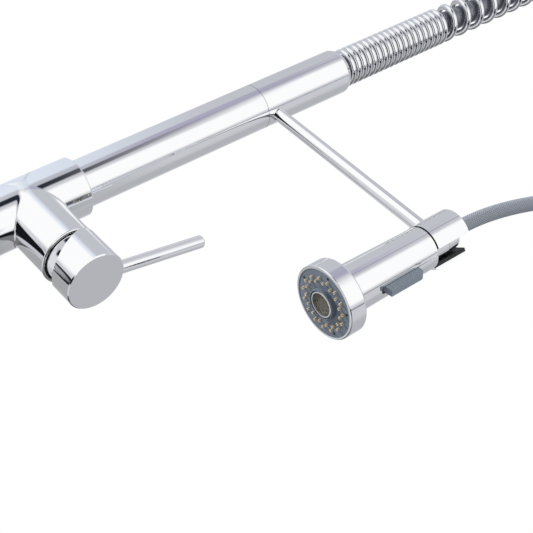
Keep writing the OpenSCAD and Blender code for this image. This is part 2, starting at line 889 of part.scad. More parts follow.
module bush(z) {
    color("white") translate([0, 0, z]) tube(sleeve_fit_r, spindle_r + run_gap, bush_h);
}

module lower_bush() {
    bush(lower_bush_z);
}

module upper_bush() {
    bush(upper_bush_z);
}

module circlip() {
    color("dimgray") translate([0, 0, circlip_z + run_gap]) difference() {
        tube(spindle_r + clip_groove / 2, spindle_r - clip_groove + run_gap, circlip_t);
        mouth_wedge(circlip_mouth, spindle_r, circlip_t);
    }
}

module upper_sleeve() {
    foot = seam_z + seam_gap / 2;
    lip = sleeve_top - sleeve_lip_h;
    color("gainsboro") difference() {
        union() {
            translate([0, 0, foot]) cylinder(h = sleeve_top - sleeve_cone - foot, r = riser_r);
            translate([0, 0, sleeve_top - sleeve_cone]) {
                cylinder(h = sleeve_cone, r1 = riser_r, r2 = sleeve_end_r);
            }
        }
        translate([0, 0, foot - over]) cylinder(h = lip - foot + over, r = sleeve_bore_r);
        translate([0, 0, lip - over]) cylinder(h = sleeve_lip_h + 2 * over, r = sleeve_lip_r);
        translate([0, 0, arm_z]) along_x() cylinder(h = riser_d, r = arm_r + thread_gap);
    }
}

module arm_ring() {
    color("darkkhaki") difference() {
        translate([0, 0, ring_z]) tube(sleeve_fit_r, spindle_r + run_gap, ring_len);
        translate([0, 0, arm_z]) along_x() cylinder(h = riser_d, r = stud_r + thread_gap);
    }
}

module spring_seat() {
    foot = sleeve_top - seat_plug;
    color("gainsboro") difference() {
        union() {
            translate([0, 0, foot]) cylinder(h = seat_plug - sleeve_lip_h - fit_gap, r = sleeve_fit_r);
            translate([0, 0, foot]) cylinder(h = seat_plug, r = sleeve_lip_r - fit_gap);
        }
        translate([0, 0, foot - over]) cylinder(h = seat_plug + 2 * over, r = hose_r + fit_gap);
        translate([0, 0, guide_foot]) cylinder(h = sleeve_top - guide_foot + over, r = guide_r + thread_gap);
    }
}

// ---- holder arm ----

module arm_rod() {
    color("silver") difference() {
        union() {
            translate([arm_root_x, 0, arm_z]) along_x() cylinder(h = reach - arm_root_x, r = arm_r);
            translate([stud_x, 0, arm_z]) along_x() cylinder(h = riser_r - stud_x, r = stud_r);
        }
        // Hollow end that fits round the clip
        translate([reach, 0, arm_z - arm_d]) cylinder(h = 2 * arm_d, r = clip_r + run_gap);
        translate([screw_head_x - screw_len - over, 0, arm_z]) along_x() {
            cylinder(h = screw_len + over, r = screw_r + thread_gap);
        }
    }
}

module clip_screw() {
    color("dimgray") translate([screw_head_x, 0, arm_z]) along_x() {
        translate([0, 0, -screw_len]) cylinder(h = screw_len + over, r = screw_r);
        cylinder(h = screw_head_h, r = screw_head_r);
    }
}

// Straight end of a ring's wall, from the mouth's far edge on, rooted inside that wall
module straight_lip(angle, r, wall, length) {
    rotate([0, 0, angle]) translate([r + run_gap, -length, 0]) {
        cube([wall - 2 * run_gap, length + over, clip_h]);
    }
}

module holder_clip() {
    color("silver") difference() {
        in_clip(clip_bottom) {
            difference() {
                cylinder(h = clip_h, r = clip_r);
                translate([0, 0, -over]) cylinder(h = clip_h + 2 * over, r = clip_in_r);
                mouth_wedge(mouth_angle, clip_r, clip_h);
            }
            straight_lip(mouth_angle / 2, clip_in_r, clip_wall, lip_len);
        }
        // Hole and flat seat of the screw
        translate([clip_x - over, 0, arm_z]) along_x() cylinder(h = clip_r, r = screw_r + thread_gap);
        translate([screw_head_x - fit_gap, 0, arm_z]) along_x() {
            cylinder(h = clip_r, r = screw_head_r + fit_gap);
        }
    }
}

module clip_liner() {
    color("black") in_clip(clip_bottom - liner_drop) {
        difference() {
            cylinder(h = clip_h, r = liner_r);
            translate([0, 0, -over]) cylinder(h = clip_h + 2 * over, r = liner_bore_r);
            rotate([0, 0, liner_lip / 2]) mouth_wedge(mouth_angle - liner_lip, clip_r, clip_h);
        }
        straight_lip(mouth_angle / 2, liner_bore_r, liner_r - liner_bore_r, lip_len + liner_past);
    }
}

// ---- spring, guide tube and hose ----

// Distance along the path after t turns
function coil_at(t) =
    t <= foot_turns ? coil_start + t * close_pitch
    : t <= foot_turns + open_turns ? coil_start + foot_len + (t - foot_turns) * open_len / open_turns
    : coil_end - (spring_turns - t) * close_pitch;

// Angle of the path along the arch, from 0 on the rise to 180 on the drop
function path_turn(s) = max(0, min(180, (s - spring_rise) / arch_len * 180));

// Point on the path's centreline
function path_point(s) =
    s <= spring_rise ? [0, 0, sleeve_top + s]
    : s >= spring_rise + arch_len ? [arch_span, 0, arch_z - (s - spring_rise - arch_len)]
    : [arch_r - arch_r * cos(path_turn(s)), 0, arch_z + arch_r * sin(path_turn(s))];

// Direction in the arch's plane that points out of the arch
function path_out(s) = [-cos(path_turn(s)), 0, sin(path_turn(s))];

// Centre of the wire after t turns
function coil_point(t) =
    let (s = coil_at(t)) path_point(s) + coil_r * (cos(360 * t) * path_out(s) + sin(360 * t) * [0, 1, 0]);

function coil_ring(i) = coil_point(i / curl_rings);

// Direction of the wire at ring i, straight over the first and the last stretch
function wire_dir(i) =
    i <= 1 ? unit(coil_ring(1) - coil_ring(0))
    : i >= spring_rings - 1 ? unit(coil_ring(spring_rings) - coil_ring(spring_rings - 1))
    : unit(coil_ring(i + 1) - coil_ring(i - 1));

// Ring of points round the wire
function wire_ring(i) =
    let (centre = coil_ring(i),
         along = wire_dir(i),
         side = unit(cross(along, centre - path_point(coil_at(i / curl_rings)))),
         out = cross(side, along))
        [for (k = [0 : wire_sides - 1])
            let (a = 360 * k / wire_sides) centre + wire_d / 2 * (cos(a) * out + sin(a) * side)];

// Least distance between the surfaces of one turn of the wire and the next
function least_gap() = min([
    for (i = [0 : spring_rings - curl_rings])
        for (j = [i + curl_rings - 2 : min(spring_rings, i + curl_rings + 2)])
            norm(coil_ring(i) - coil_ring(j)) - wire_d
]);

module spring() {
    echo(spring_turns = spring_turns, spring_least_gap_mm = least_gap());
    color("gainsboro") skin([for (i = [0 : spring_rings]) wire_ring(i)]);
}

module guide_tube() {
    color("darkgray") arch_pipe(guide_r, guide_r - guide_wall, guide_foot, cap_bottom + cap_floor);
}

module inner_hose() {
    color("gray") arch_pipe(hose_r, hose_bore / 2, hose_foot, cap_bottom);
}

module spring_cap() {
    color("silver") translate([arch_span, 0, cap_bottom]) difference() {
        rotate_extrude() disc_section(spring_d / 2, spring_cap_h, cap_round, cap_round);
        translate([0, 0, -over]) cylinder(h = spring_cap_h, r = hose_r + fit_gap);
        translate([0, 0, cap_floor - fit_gap]) cylinder(h = spring_cap_h, r = guide_r + thread_gap);
    }
}

// Direction of the free hose at point i, square to what it meets at both ends
function hose_dir(i) =
    i == 0 || i == len(hose_route) - 1 ? [0, 0, 1]
    : unit([hose_route[i + 1][0] - hose_route[i - 1][0], 0, hose_route[i + 1][1] - hose_route[i - 1][1]]);

// Ring of points round the free hose at point i of its route
function hose_ring(i) =
    let (side = [0, 1, 0],
         out = cross(side, hose_dir(i)),
         centre = [hose_route[i][0], 0, hose_route[i][1]])
        [for (k = [0 : hose_sides - 1])
            let (a = 360 * k / hose_sides) centre + hose_r * (cos(a) * out + sin(a) * side)];

module spray_hose() {
    color("slategray") skin([for (i = [0 : len(hose_route) - 1]) hose_ring(i)]);
}

// ---- neck of the spray head ----

module hose_nut() {
    color("silver") translate([reach, 0, nut_foot_z]) difference() {
        union() {
            cylinder(h = nut_spigot + seam_gap + over, r = nut_spigot_r);
            translate([0, 0, nut_spigot + seam_gap]) {
                cylinder(h = nut_rise, r1 = neck_r - fit_gap, r2 = nut_top_d / 2);
            }
        }
        translate([0, 0, -over]) cylinder(h = 2 * nut_spigot + nut_rise, r = hose_bore / 2);
    }
}

module hose_washer() {
    color("black") translate([reach, 0, washer_foot_z]) tube(nut_spigot_r - fit_gap, hose_bore / 2, seal_t);
}

module head_neck() {
    foot = shell_top - web_t;
    color("silver") translate([reach, 0, 0]) difference() {
        union() {
            translate([0, 0, foot]) cylinder(h = web_t + over, r = neck_spigot_r);
            translate([0, 0, shell_top + fit_gap]) cylinder(h = neck_len - fit_gap, r = neck_r);
        }
        translate([0, 0, foot - over]) cylinder(h = web_t + neck_len, r = neck_bore_r);
        translate([0, 0, washer_foot_z - fit_gap]) {
            cylinder(h = neck_seam - washer_foot_z + over, r = nut_spigot_r + run_gap);
        }
    }
}

module inlet_filter() {
    color("lightsteelblue") on_head(filter_z) tube(neck_bore_r - run_gap, neck_bore_r / 2, filter_t);
}

module check_valve() {
    color("whitesmoke") on_head(core_top + fit_gap) {
        tube(core_r, neck_bore_r, valve_top - core_top - fit_gap);
    }
}

// ---- spray head ----

// Room that the button needs, from the pocket's floor outwards
module button_room(gap) {
    on_head(button_z - gap) translate([pocket_x, -button_w / 2 - gap, 0]) {
        cube([ring_d, button_w + 2 * gap, button_len + 2 * gap]);
    }
}

module head_shell() {
    slot_r = button_w / 2 + button_gap;
    slot_end = slot_low - slot_r;
    line_z = button_z + button_len;
    color("gainsboro") difference() {
        on_head(ring_top) union() {
            cylinder(h = shell_len, r1 = shell_d / 2, r2 = shell_top_d / 2);
            translate([0, 0, -shell_spigot]) cylinder(h = shell_spigot + over, r = shell_spigot_r);
        }
        on_head(ring_top - shell_spigot - over) {
            cylinder(h = shell_spigot + shell_len - web_t + over, r = head_bore_r);
        }
        on_head(shell_top - web_t - over) cylinder(h = web_t + 2 * over, r = neck_spigot_r + thread_gap);
        button_room(button_gap);
        // Round end of the slot, below the button
        on_head(button_z - slot_end) translate([pocket_x, 0, 0]) along_x() cylinder(h = ring_d, r = slot_r);
        on_head(button_z - slot_end) translate([pocket_x, -slot_r, 0]) {
            cube([ring_d, 2 * slot_r, max(slot_end, over)]);
        }
        // Fine grooves from the slot up to the shell's end
        for (y = [-slot_r, slot_r - seam_line_w]) {
            on_head(line_z) translate([seam_line_x, y, 0]) cube([ring_d, seam_line_w, shell_top - line_z + over]);
        }
    }
}

module water_core() {
    spray_way_r = 1.2;
    stream_way_r = 2.4;
    color("whitesmoke") difference() {
        on_head(core_z) cylinder(h = core_top - core_z, r = core_r);
        button_room(button_gap + fit_gap);
        across_head(pin_len + 2 * fit_gap, pin_r + thread_gap);
        // Bore of the diverter, open towards the button
        on_head(piston_z) translate([piston_bore_x, 0, 0]) along_x() {
            cylinder(h = pocket_x - piston_bore_x + over, r = piston_r + run_gap);
        }
        // Water ways: in above the diverter, out to the spray ring and out to the stream
        on_head(piston_z) cylinder(h = core_top - piston_z + over, r = spray_way_r);
        on_head(core_z - over) translate([piston_bore_x + 2 * spray_way_r, 0, 0]) {
            cylinder(h = piston_z - core_z + over, r = spray_way_r);
        }
        on_head(core_z - over) translate([piston_root_x, 2 * piston_r, 0]) {
            cylinder(h = core_top - core_z + 2 * over, r = stream_way_r);
        }
    }
}

module face_ring() {
    color("silver") on_head(face_z) difference() {
        rotate_extrude() disc_section(ring_d / 2, ring_h, ring_round, ring_back_round);
        translate([0, 0, -over]) cylinder(h = face_cavity + over, r = plate_d / 2 + fit_gap);
        translate([0, 0, face_cavity - over]) cylinder(h = ring_h, r = shell_spigot_r + thread_gap);
    }
}

module face_seal() {
    color("black") on_head(face_seal_z) tube(shell_spigot_r, shell_spigot_r - face_seal_w, seal_t);
}

module spray_diffuser() {
    jet_r = 1;
    jet_ring_r = collar_r + 1.8;
    color("whitesmoke") on_head(diffuser_z) difference() {
        cylinder(h = diffuser_t, r = plate_d / 2);
        translate([0, 0, -over]) cylinder(h = diffuser_t + 2 * over, r = collar_r + fit_gap);
        for (a = [0 : 60 : 300]) {
            rotate([0, 0, a]) translate([jet_ring_r, 0, -over]) {
                cylinder(h = diffuser_t + 2 * over, r = jet_r, $fn = small_fn);
            }
        }
    }
}

// Places of the nubs: two rings, half a step apart
nub_start = 18.5;
nub_places = [
    for (i = [0 : nub_count - 1])
        for (row = [0, 1])
            let (a = nub_start + 360 / nub_count * (i + row / 2), r = row == 0 ? nub_r_out : nub_r_in)
                [r * cos(a), r * sin(a), 0]
];

module nozzle_pad() {
    jet_r = 0.45;
    foot = plate_z - nub_rise;
    color("tan") on_head(0) difference() {
        union() {
            translate([0, 0, pad_z]) tube(plate_d / 2, collar_r + fit_gap, pad_t);
            for (p = nub_places) {
                translate([0, 0, foot] + p) cylinder(h = pad_z - foot + over, r = nub_d / 2, $fn = small_fn);
            }
        }
        for (p = nub_places) {
            translate([0, 0, foot - over] + p) cylinder(h = 2 * plate_t + pad_t, r = jet_r, $fn = small_fn);
        }
    }
}

module face_plate() {
    cut = [0, 0, -over];
    cut_h = plate_t + 2 * over;
    vent_start = 64;
    vent_w = 0.9;
    color("slategray") on_head(plate_z) difference() {
        cylinder(h = plate_t, r = plate_d / 2);
        translate(cut) cylinder(h = cut_h, r = collar_r + fit_gap);
        for (p = nub_places) {
            translate(cut + p) cylinder(h = cut_h, r = nub_d / 2 + fit_gap, $fn = small_fn);
        }
        for (i = [0 : vent_count - 1]) {
            rotate([0, 0, 360 / vent_count * i + vent_start]) translate([vent_r, 0, -over]) {
                cylinder(h = cut_h, r = vent_w, $fn = small_fn);
            }
        }
    }
}

module stream_collar() {
    h = core_z - fit_gap - collar_z;
    groove_w = 0.7;
    groove_h = 2;
    color("slategray") on_head(collar_z) difference() {
        rotate_extrude() disc_section(collar_r, h, 0.7, 0.2);
        translate([0, 0, -over]) cylinder(h = h + 2 * over, r = collar_in_r);
        // Groove that shows round the aerator
        translate([0, 0, -over]) cylinder(h = groove_h + over, r = collar_in_r + groove_w);
    }
}

module aerator_housing() {
    inset = 0.3;
    color("lightgray") on_head(collar_z + inset) difference() {
        rotate_extrude() disc_section(aerator_r, aerator_h, 0.4, 0.2);
        translate([0, 0, -over]) cylinder(h = aerator_h + 2 * over, r = aerator_in_r);
    }
}

module aerator_mesh() {
    inset = 2;
    mesh_t = 1;
    hole_r = 0.5;
    color("gray") on_head(collar_z + inset) difference() {
        cylinder(h = mesh_t, r = mesh_r);
        for (a = [0 : 45 : 315]) {
            rotate([0, 0, a]) translate([mesh_r * 0.6, 0, -over]) {
                cylinder(h = mesh_t + 2 * over, r = hole_r, $fn = small_fn);
            }
        }
    }
}

// ---- spray button ----

// Side view of the button: height across, distance from the head's axis along
module button_section() {
    half = button_len / 2;
    rise = button_rise - button_foot_x;
    translate([button_foot_x, -half]) {
        square([rise - button_round, button_len]);
        square([rise, button_len - button_round]);
    }
    translate([button_rise - button_round, half - button_round]) circle(r = button_round);
    // Web that carries the pin
    translate([button_web_x, -button_web_h / 2]) square([button_foot_x + over - button_web_x, button_web_h]);
}

module spray_button() {
    color("slategray") difference() {
        on_head(pin_z) union() {
            translate([0, button_w / 2, 0]) rotate([90, 0, 0]) linear_extrude(height = button_w) button_section();
            // Boss that pushes the diverter
            translate([boss_x, 0, -piston_drop]) along_x() {
                cylinder(h = button_foot_x + over - boss_x, r = boss_r);
            }
        }
        across_head(2 * button_w, pin_r + run_gap);
    }
}

module button_pin() {
    color("lightgray") across_head(pin_len, pin_r);
}

module diverter_piston() {
    chamfer = 0.5;
    color("darkkhaki") on_head(piston_z) translate([piston_root_x, 0, 0]) along_x() {
        cylinder(h = chamfer, r1 = piston_r - chamfer, r2 = piston_r);
        translate([0, 0, chamfer]) cylinder(h = piston_end_x - piston_root_x - chamfer, r = piston_r);
    }
}

base_ring();
deck_gasket();
mounting_shank();
clamp_seal();
clamp_washer();
mounting_nut();
main_body();
outlet_nipple();
nipple_seals();
hose_coupling();
riser_seal();
seat_seals();
fixed_disc();
moving_disc();
disc_carrier();
cartridge_housing();
stem_guide();
pivot_pin();
cartridge_stem();
cartridge_nut();
dome_ring();
handle_cap();
lever_rod();
grub_screw();
riser_tube();
swivel_spigot();
slip_washer();
arm_ring();
lower_bush();
upper_bush();
circlip();
upper_sleeve();
spring_seat();
arm_rod();
clip_screw();
holder_clip();
clip_liner();
spring();
guide_tube();
inner_hose();
spring_cap();
spray_hose();
hose_nut();
hose_washer();
head_neck();
inlet_filter();
check_valve();
water_core();
head_shell();
face_ring();
face_seal();
spray_diffuser();
nozzle_pad();
face_plate();
stream_collar();
aerator_housing();
aerator_mesh();
spray_button();
button_pin();
diverter_piston();
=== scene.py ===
# %% [markdown]
# # Pre rinse kitchen faucet
# This lesson dresses the faucet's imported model. The solids are already in place, in metres, with
# the deck at height 0 and the column on the Z axis. Each step makes one piece or one finish: first
# the frame, the camera and the helpers, then the finishes, the pieces and last the studio.

import json
import math

import bmesh
import bpy
from mathutils import Matrix, Vector


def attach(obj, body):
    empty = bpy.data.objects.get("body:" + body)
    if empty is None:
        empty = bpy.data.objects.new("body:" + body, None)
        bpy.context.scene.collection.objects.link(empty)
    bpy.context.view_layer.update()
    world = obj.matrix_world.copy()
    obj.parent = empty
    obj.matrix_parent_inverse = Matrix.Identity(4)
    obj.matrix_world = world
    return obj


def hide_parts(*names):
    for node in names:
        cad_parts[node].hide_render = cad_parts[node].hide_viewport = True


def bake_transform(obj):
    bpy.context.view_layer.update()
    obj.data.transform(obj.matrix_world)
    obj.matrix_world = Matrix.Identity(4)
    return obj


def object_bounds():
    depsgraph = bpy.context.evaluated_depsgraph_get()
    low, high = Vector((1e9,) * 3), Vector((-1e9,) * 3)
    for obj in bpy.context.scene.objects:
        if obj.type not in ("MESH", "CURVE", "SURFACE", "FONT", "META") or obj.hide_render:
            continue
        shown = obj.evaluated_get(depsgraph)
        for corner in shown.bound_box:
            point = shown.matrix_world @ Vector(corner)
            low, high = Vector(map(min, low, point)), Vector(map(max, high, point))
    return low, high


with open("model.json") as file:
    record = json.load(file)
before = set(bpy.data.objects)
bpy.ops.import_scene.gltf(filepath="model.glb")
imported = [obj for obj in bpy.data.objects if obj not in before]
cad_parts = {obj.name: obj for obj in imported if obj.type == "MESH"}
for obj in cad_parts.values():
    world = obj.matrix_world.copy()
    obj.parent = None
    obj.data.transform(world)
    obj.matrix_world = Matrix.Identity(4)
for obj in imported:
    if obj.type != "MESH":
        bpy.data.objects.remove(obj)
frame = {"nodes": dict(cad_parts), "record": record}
cad_low, cad_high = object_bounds()
cad = frame["nodes"]
MM = 0.001
print("solids", len(cad), "from", [round(v, 3) for v in cad_low], "to", [round(v, 3) for v in cad_high])

# %% [markdown]
# ## Camera
# The faucet is seen from below and from the front right, with a long lens. The lens is given by its
# focal length in pixels, and the camera's place and its three axes are plain numbers, so no
# constraint is needed. The picture is square, 533 pixels wide.

# %% Camera
PICTURE = 533
FOCAL_PIXELS = 1314.56
SENSOR_MM = 36.0
NEAREST, FARTHEST = 0.01, 60
camera_place = Vector((0.61259, -0.62455, -0.27005))
camera_right = Vector((0.63712498, -0.07405195, 0.76719493))
camera_down = Vector((0.56852978, 0.71724232, -0.40291107))
camera_ahead = Vector((-0.52042833, 0.69287788, 0.49907374))

lens = bpy.data.cameras.new("studio_camera")
lens.sensor_width = SENSOR_MM
lens.lens = FOCAL_PIXELS / PICTURE * SENSOR_MM
lens.clip_start = NEAREST
lens.clip_end = FARTHEST
camera = bpy.data.objects.new("studio_camera", lens)
bpy.context.scene.collection.objects.link(camera)
turn = Matrix((camera_right, -camera_down, -camera_ahead)).transposed()
camera.matrix_world = Matrix.Translation(camera_place) @ turn.to_4x4()
bpy.context.scene.camera = camera
print("lens", round(lens.lens, 2), "mm")

# %% [markdown]
# ## Tubes that follow a path
# The hose and the spring are both round tubes along a path. A curve object with a bevel would do,
# but it has to become a mesh in the end, and its UV map is awkward. Here a ring of points is made
# once with create_circle and extruded from place to place. Each new ring is turned to face along the
# path by the shortest turn, so the tube doesn't twist.


# %% Paths
def smooth_path(points, parts):
    """Points on a smooth curve through the given ones, with this many parts between two of them."""
    points = [Vector(p) for p in points]
    ends = [2 * points[0] - points[1]] + points + [2 * points[-1] - points[-2]]
    curve = []
    for a, b, c, d in zip(ends, ends[1:], ends[2:], ends[3:]):
        slope, bend, twist = c - a, 2 * a - 5 * b + 4 * c - d, 3 * b - a - 3 * c + d
        for k in range(parts):
            t = k / parts
            curve.append(0.5 * (2 * b + slope * t + bend * t**2 + twist * t**3))
    return curve + [points[-1]]


def path_length(points):
    """Length of the line through the points."""
    return sum((b - a).length for a, b in zip(points, points[1:]))


print("a path of 1 m measures", round(path_length(smooth_path([(0, 0, 0), (0, 0, 1)], 4)), 3), "m")


# %% A tube along a path
def swept_tube(points, radius, sides):
    """A bmesh tube along the points, closed at both ends, with a UV map."""
    bm = bmesh.new()
    ring = bmesh.ops.create_circle(bm, cap_ends=True, radius=radius, segments=sides)["verts"]
    ahead = (points[1] - points[0]).normalized()
    spin = Vector((0, 0, 1)).rotation_difference(ahead)
    bmesh.ops.rotate(bm, verts=ring, cent=(0, 0, 0), matrix=spin.to_matrix())
    bmesh.ops.translate(bm, verts=ring, vec=points[0])
    edges = list(bm.edges)
    for i in range(1, len(points)):
        after = points[min(i + 1, len(points) - 1)] - points[max(i - 1, 0)]
        if i == len(points) - 1:
            after = points[i] - points[i - 1]
        after = after.normalized()
        new = bmesh.ops.extrude_edge_only(bm, edges=edges)["geom"]
        ring = [g for g in new if isinstance(g, bmesh.types.BMVert)]
        edges = [g for g in new if isinstance(g, bmesh.types.BMEdge) and all(v in ring for v in g.verts)]
        spin = ahead.rotation_difference(after)
        bmesh.ops.translate(bm, verts=ring, vec=points[i] - points[i - 1])
        bmesh.ops.rotate(bm, verts=ring, cent=points[i], matrix=spin.to_matrix())
        ahead = after
    bmesh.ops.contextual_create(bm, geom=edges)
    bmesh.ops.recalc_face_normals(bm, faces=bm.faces)
    map_along(bm, points, radius, sides)
    return bm


print("tube helper ready")

# %% [markdown]
# ## Map of a tube
# A woven pattern has to follow the tube, so the tube gets a UV map: U runs round it and V along it,
# in tube widths. Object coordinates would do on a straight hose, but on a bent one the braid would
# run off to the side. The rings were made one after another, so a point's number tells its ring and
# its side. The last side has to end at U 1 and not go back to 0, or the pattern would be squeezed.


# %% Map of a tube
def map_along(bm, points, radius, sides):
    """UV map of a tube with this many sides, in the order in which its rings were made."""
    uv = bm.loops.layers.uv.new("along")
    length = path_length(points)
    bm.verts.index_update()
    for face in bm.faces:
        if len(face.verts) != 4:
            continue
        sides_of = [loop.vert.index % sides for loop in face.loops]
        wraps = max(sides_of) - min(sides_of) > 1
        for loop in face.loops:
            ring, side = divmod(loop.vert.index, sides)
            if wraps and side == 0:
                side = sides
            loop[uv].uv = (side / sides, ring * length / (len(points) - 1) / (2 * radius))


print("map helper ready")

# %% [markdown]
# ## Finished pieces
# Every piece ends in the same way: its mesh gets smooth shading with sharp edges kept, a material, a
# CAD body to ride on, and the solids that it stands for. An Edge Split modifier would keep edges
# sharp too, but it cuts the mesh apart there, and a mark on the edge doesn't.


# %% Finish a piece
SHARP = math.radians(32)


def finish_piece(bm, name, material, body, stands_for=()):
    """The bmesh as a visible piece that rides on a body and stands for these solids."""
    mesh = bpy.data.meshes.new(name)
    bm.to_mesh(mesh)
    bm.free()
    mesh.materials.append(material)
    mesh.shade_smooth()
    mesh.set_sharp_from_angle(angle=SHARP)
    piece = bpy.data.objects.new(name, mesh)
    bpy.context.scene.collection.objects.link(piece)
    if body:
        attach(piece, body)
    if stands_for:
        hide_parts(*stands_for)
    print("made", name, "with", len(mesh.polygons), "faces")
    return piece


print("edges sharper than", round(math.degrees(SHARP)), "degrees stay sharp")


# %% [markdown]
# ## Turned pieces
# Most of a faucet is turned on a lathe, and so are these pieces: a profile is spun about an axis.
# The profile is a list of corners, each with its distance from the axis, its place along it and the
# radius of its rounding. A bevel on the finished piece could round the edges too, but a profile
# gives each corner its own radius. It matters on chrome: each rounding shows the whole studio as a
# fine line.


# %% Turned pieces
ON_AXIS = 1e-7


def rounded_profile(corners, steps=6):
    """Points along the corners (radius, along, rounding) in millimetres, with the corners rounded."""
    points = []
    for i, (radius, along, rounding) in enumerate(corners):
        here = Vector((radius, along))
        if not rounding:
            points.append(here)
            continue
        before = (Vector(corners[i - 1][:2]) - here).normalized()
        after = (Vector(corners[(i + 1) % len(corners)][:2]) - here).normalized()
        half = before.angle(after) / 2
        middle = here + (before + after).normalized() * (rounding / math.sin(half))
        start = here + before * (rounding / math.tan(half)) - middle
        end = here + after * (rounding / math.tan(half)) - middle
        for k in range(steps + 1):
            points.append(middle + start.slerp(end, k / steps))
    return points


def turned(corners, place_at=(0, 0, 0), lying=False, sides=192):
    """A bmesh turned about Z, or about X where it lies, at a place in millimetres."""
    bm = bmesh.new()
    line = [bm.verts.new((p.x * MM, 0, p.y * MM)) for p in rounded_profile(corners)]
    edges = [bm.edges.new(pair) for pair in zip(line, line[1:])]
    bmesh.ops.spin(bm, geom=line + edges, cent=(0, 0, 0), axis=(0, 0, 1), angle=2 * math.pi, steps=sides,
                   use_merge=True)
    bmesh.ops.remove_doubles(bm, verts=bm.verts, dist=ON_AXIS)
    if lying:
        bmesh.ops.rotate(bm, verts=bm.verts, cent=(0, 0, 0), matrix=Matrix.Rotation(math.pi / 2, 3, "Y"))
    bmesh.ops.translate(bm, verts=bm.verts, vec=Vector(place_at) * MM)
    bmesh.ops.recalc_face_normals(bm, faces=bm.faces)
    return bm


corner = rounded_profile([(2, 0, 0), (2, 2, 1), (0, 2, 0)])
print("a corner of 90 degrees is rounded with", len(corner) - 2, "points")

# %% [markdown]
# ## Softened solids
# Some solids have the right shape but knife-sharp edges, which no plated or moulded part has. A copy
# of such a solid is merged, its flat triangles are joined, and a Bevel modifier rounds the edges that
# are sharper than an angle. The modifier stays live, so the width can still be changed. After it, the
# Weighted Normal modifier keeps flat faces flat beside a rounded edge, which shows at once on chrome.
# Finer meshes would do too, at the price of many more faces.


# %% Softened solids
SAME_POINT = 1e-6
FLAT = math.radians(0.5)
FACE_WEIGHT = 90


def softened(node, name, body, width, material, least=35, segments=3):
    """A piece from a solid's copy, with a bevel of this width in millimetres on its sharp edges."""
    bm = bmesh.new()
    bm.from_mesh(cad[node].data)
    bmesh.ops.remove_doubles(bm, verts=bm.verts, dist=SAME_POINT)
    bmesh.ops.dissolve_limit(bm, angle_limit=FLAT, verts=bm.verts, edges=bm.edges)
    piece = finish_piece(bm, name, material, body, [node])
    edge = piece.modifiers.new("soft_edges", "BEVEL")
    edge.width = width * MM
    edge.segments = segments
    edge.limit_method = "ANGLE"
    edge.angle_limit = math.radians(least)
    evener = piece.modifiers.new("even_normals", "WEIGHTED_NORMAL")
    evener.keep_sharp = False
    evener.weight = FACE_WEIGHT
    return piece


print("softening ready")

# %% [markdown]
# ## Placing shader nodes
# One short helper places a node, sets its plain values and wires its inputs. Colours are written as
# they look on screen, from 0 to 255, and changed to the linear values that the nodes expect.


# %% Node helpers
def place(tree, kind, settings=None, values=None, wires=None):
    """A new shader node with its settings, the values of its inputs and the wires into them."""
    new = tree.nodes.new("ShaderNode" + kind)
    for key, value in (settings or {}).items():
        setattr(new, key, value)
    for key, value in (values or {}).items():
        new.inputs[key].default_value = value
    for key, source in (wires or {}).items():
        tree.links.new(source, new.inputs[key])
    return new


def screen(red, green, blue):
    """Linear colour of a colour written as it looks on screen."""
    parts = [v / 255 for v in (red, green, blue)]
    return tuple(v / 12.92 if v <= 0.04045 else ((v + 0.055) / 1.055) ** 2.4 for v in parts) + (1.0,)


def new_group(name, inputs, outputs):
    """An empty node group with these float, colour or vector sockets."""
    kinds = {"f": "NodeSocketFloat", "c": "NodeSocketColor", "v": "NodeSocketVector"}
    group = bpy.data.node_groups.new(name, "ShaderNodeTree")
    for title, kind in inputs:
        group.interface.new_socket(name=title, in_out="INPUT", socket_type=kinds[kind])
    for title, kind in outputs:
        group.interface.new_socket(name=title, in_out="OUTPUT", socket_type=kinds[kind])
    return group, group.nodes.new("NodeGroupInput"), group.nodes.new("NodeGroupOutput")


def use_group(tree, group, values=None, wires=None):
    """A node that uses this group."""
    return place(tree, "Group", {"node_tree": group}, values, wires)


print("mid grey on screen is", round(screen(128, 128, 128)[0], 3), "linear")

# %% [markdown]
# ## Polish
# Plated metal is never quite even: the polishing wheel leaves a very slight wave and a haze that
# comes and goes. One group makes both from two noises, for every metal here. It puts out a roughness
# and a normal, and the amounts are its inputs.

# %% The polish group
polish, group_in, group_out = new_group(
    "polish",
    [("Scale", "f"), ("Clear", "f"), ("Hazy", "f"), ("Wave", "f")],
    [("Roughness", "f"), ("Normal", "v")],
)
where = place(polish, "TexCoord")
haze = place(polish, "TexNoise", values={"Detail": 4.0, "Roughness": 0.6},
             wires={"Vector": where.outputs["Object"], "Scale": group_in.outputs["Scale"]})
spread = place(polish, "MapRange", values={"From Min": 0.35, "From Max": 0.7},
               wires={"Value": haze.outputs["Fac"], "To Min": group_in.outputs["Clear"],
                      "To Max": group_in.outputs["Hazy"]})
wave = place(polish, "TexNoise", values={"Detail": 1.0, "Scale": 45.0},
             wires={"Vector": where.outputs["Object"]})
bump = place(polish, "Bump", values={"Distance": 0.001},
             wires={"Height": wave.outputs["Fac"], "Strength": group_in.outputs["Wave"]})
polish.links.new(spread.outputs["Result"], group_out.inputs["Roughness"])
polish.links.new(bump.outputs["Normal"], group_out.inputs["Normal"])
print("polish group has", len(polish.nodes), "nodes")


# %% [markdown]
# ## Metals
# Chrome plate is a mirror with a faint blue. Reflections could be painted on, but they would turn
# with the piece, so the colour stays nearly white, and what it shows comes from the studio. The
# spring's chrome is a little duller, brass is bare where only plumbers see it, and the small screws
# and pins are satin steel.


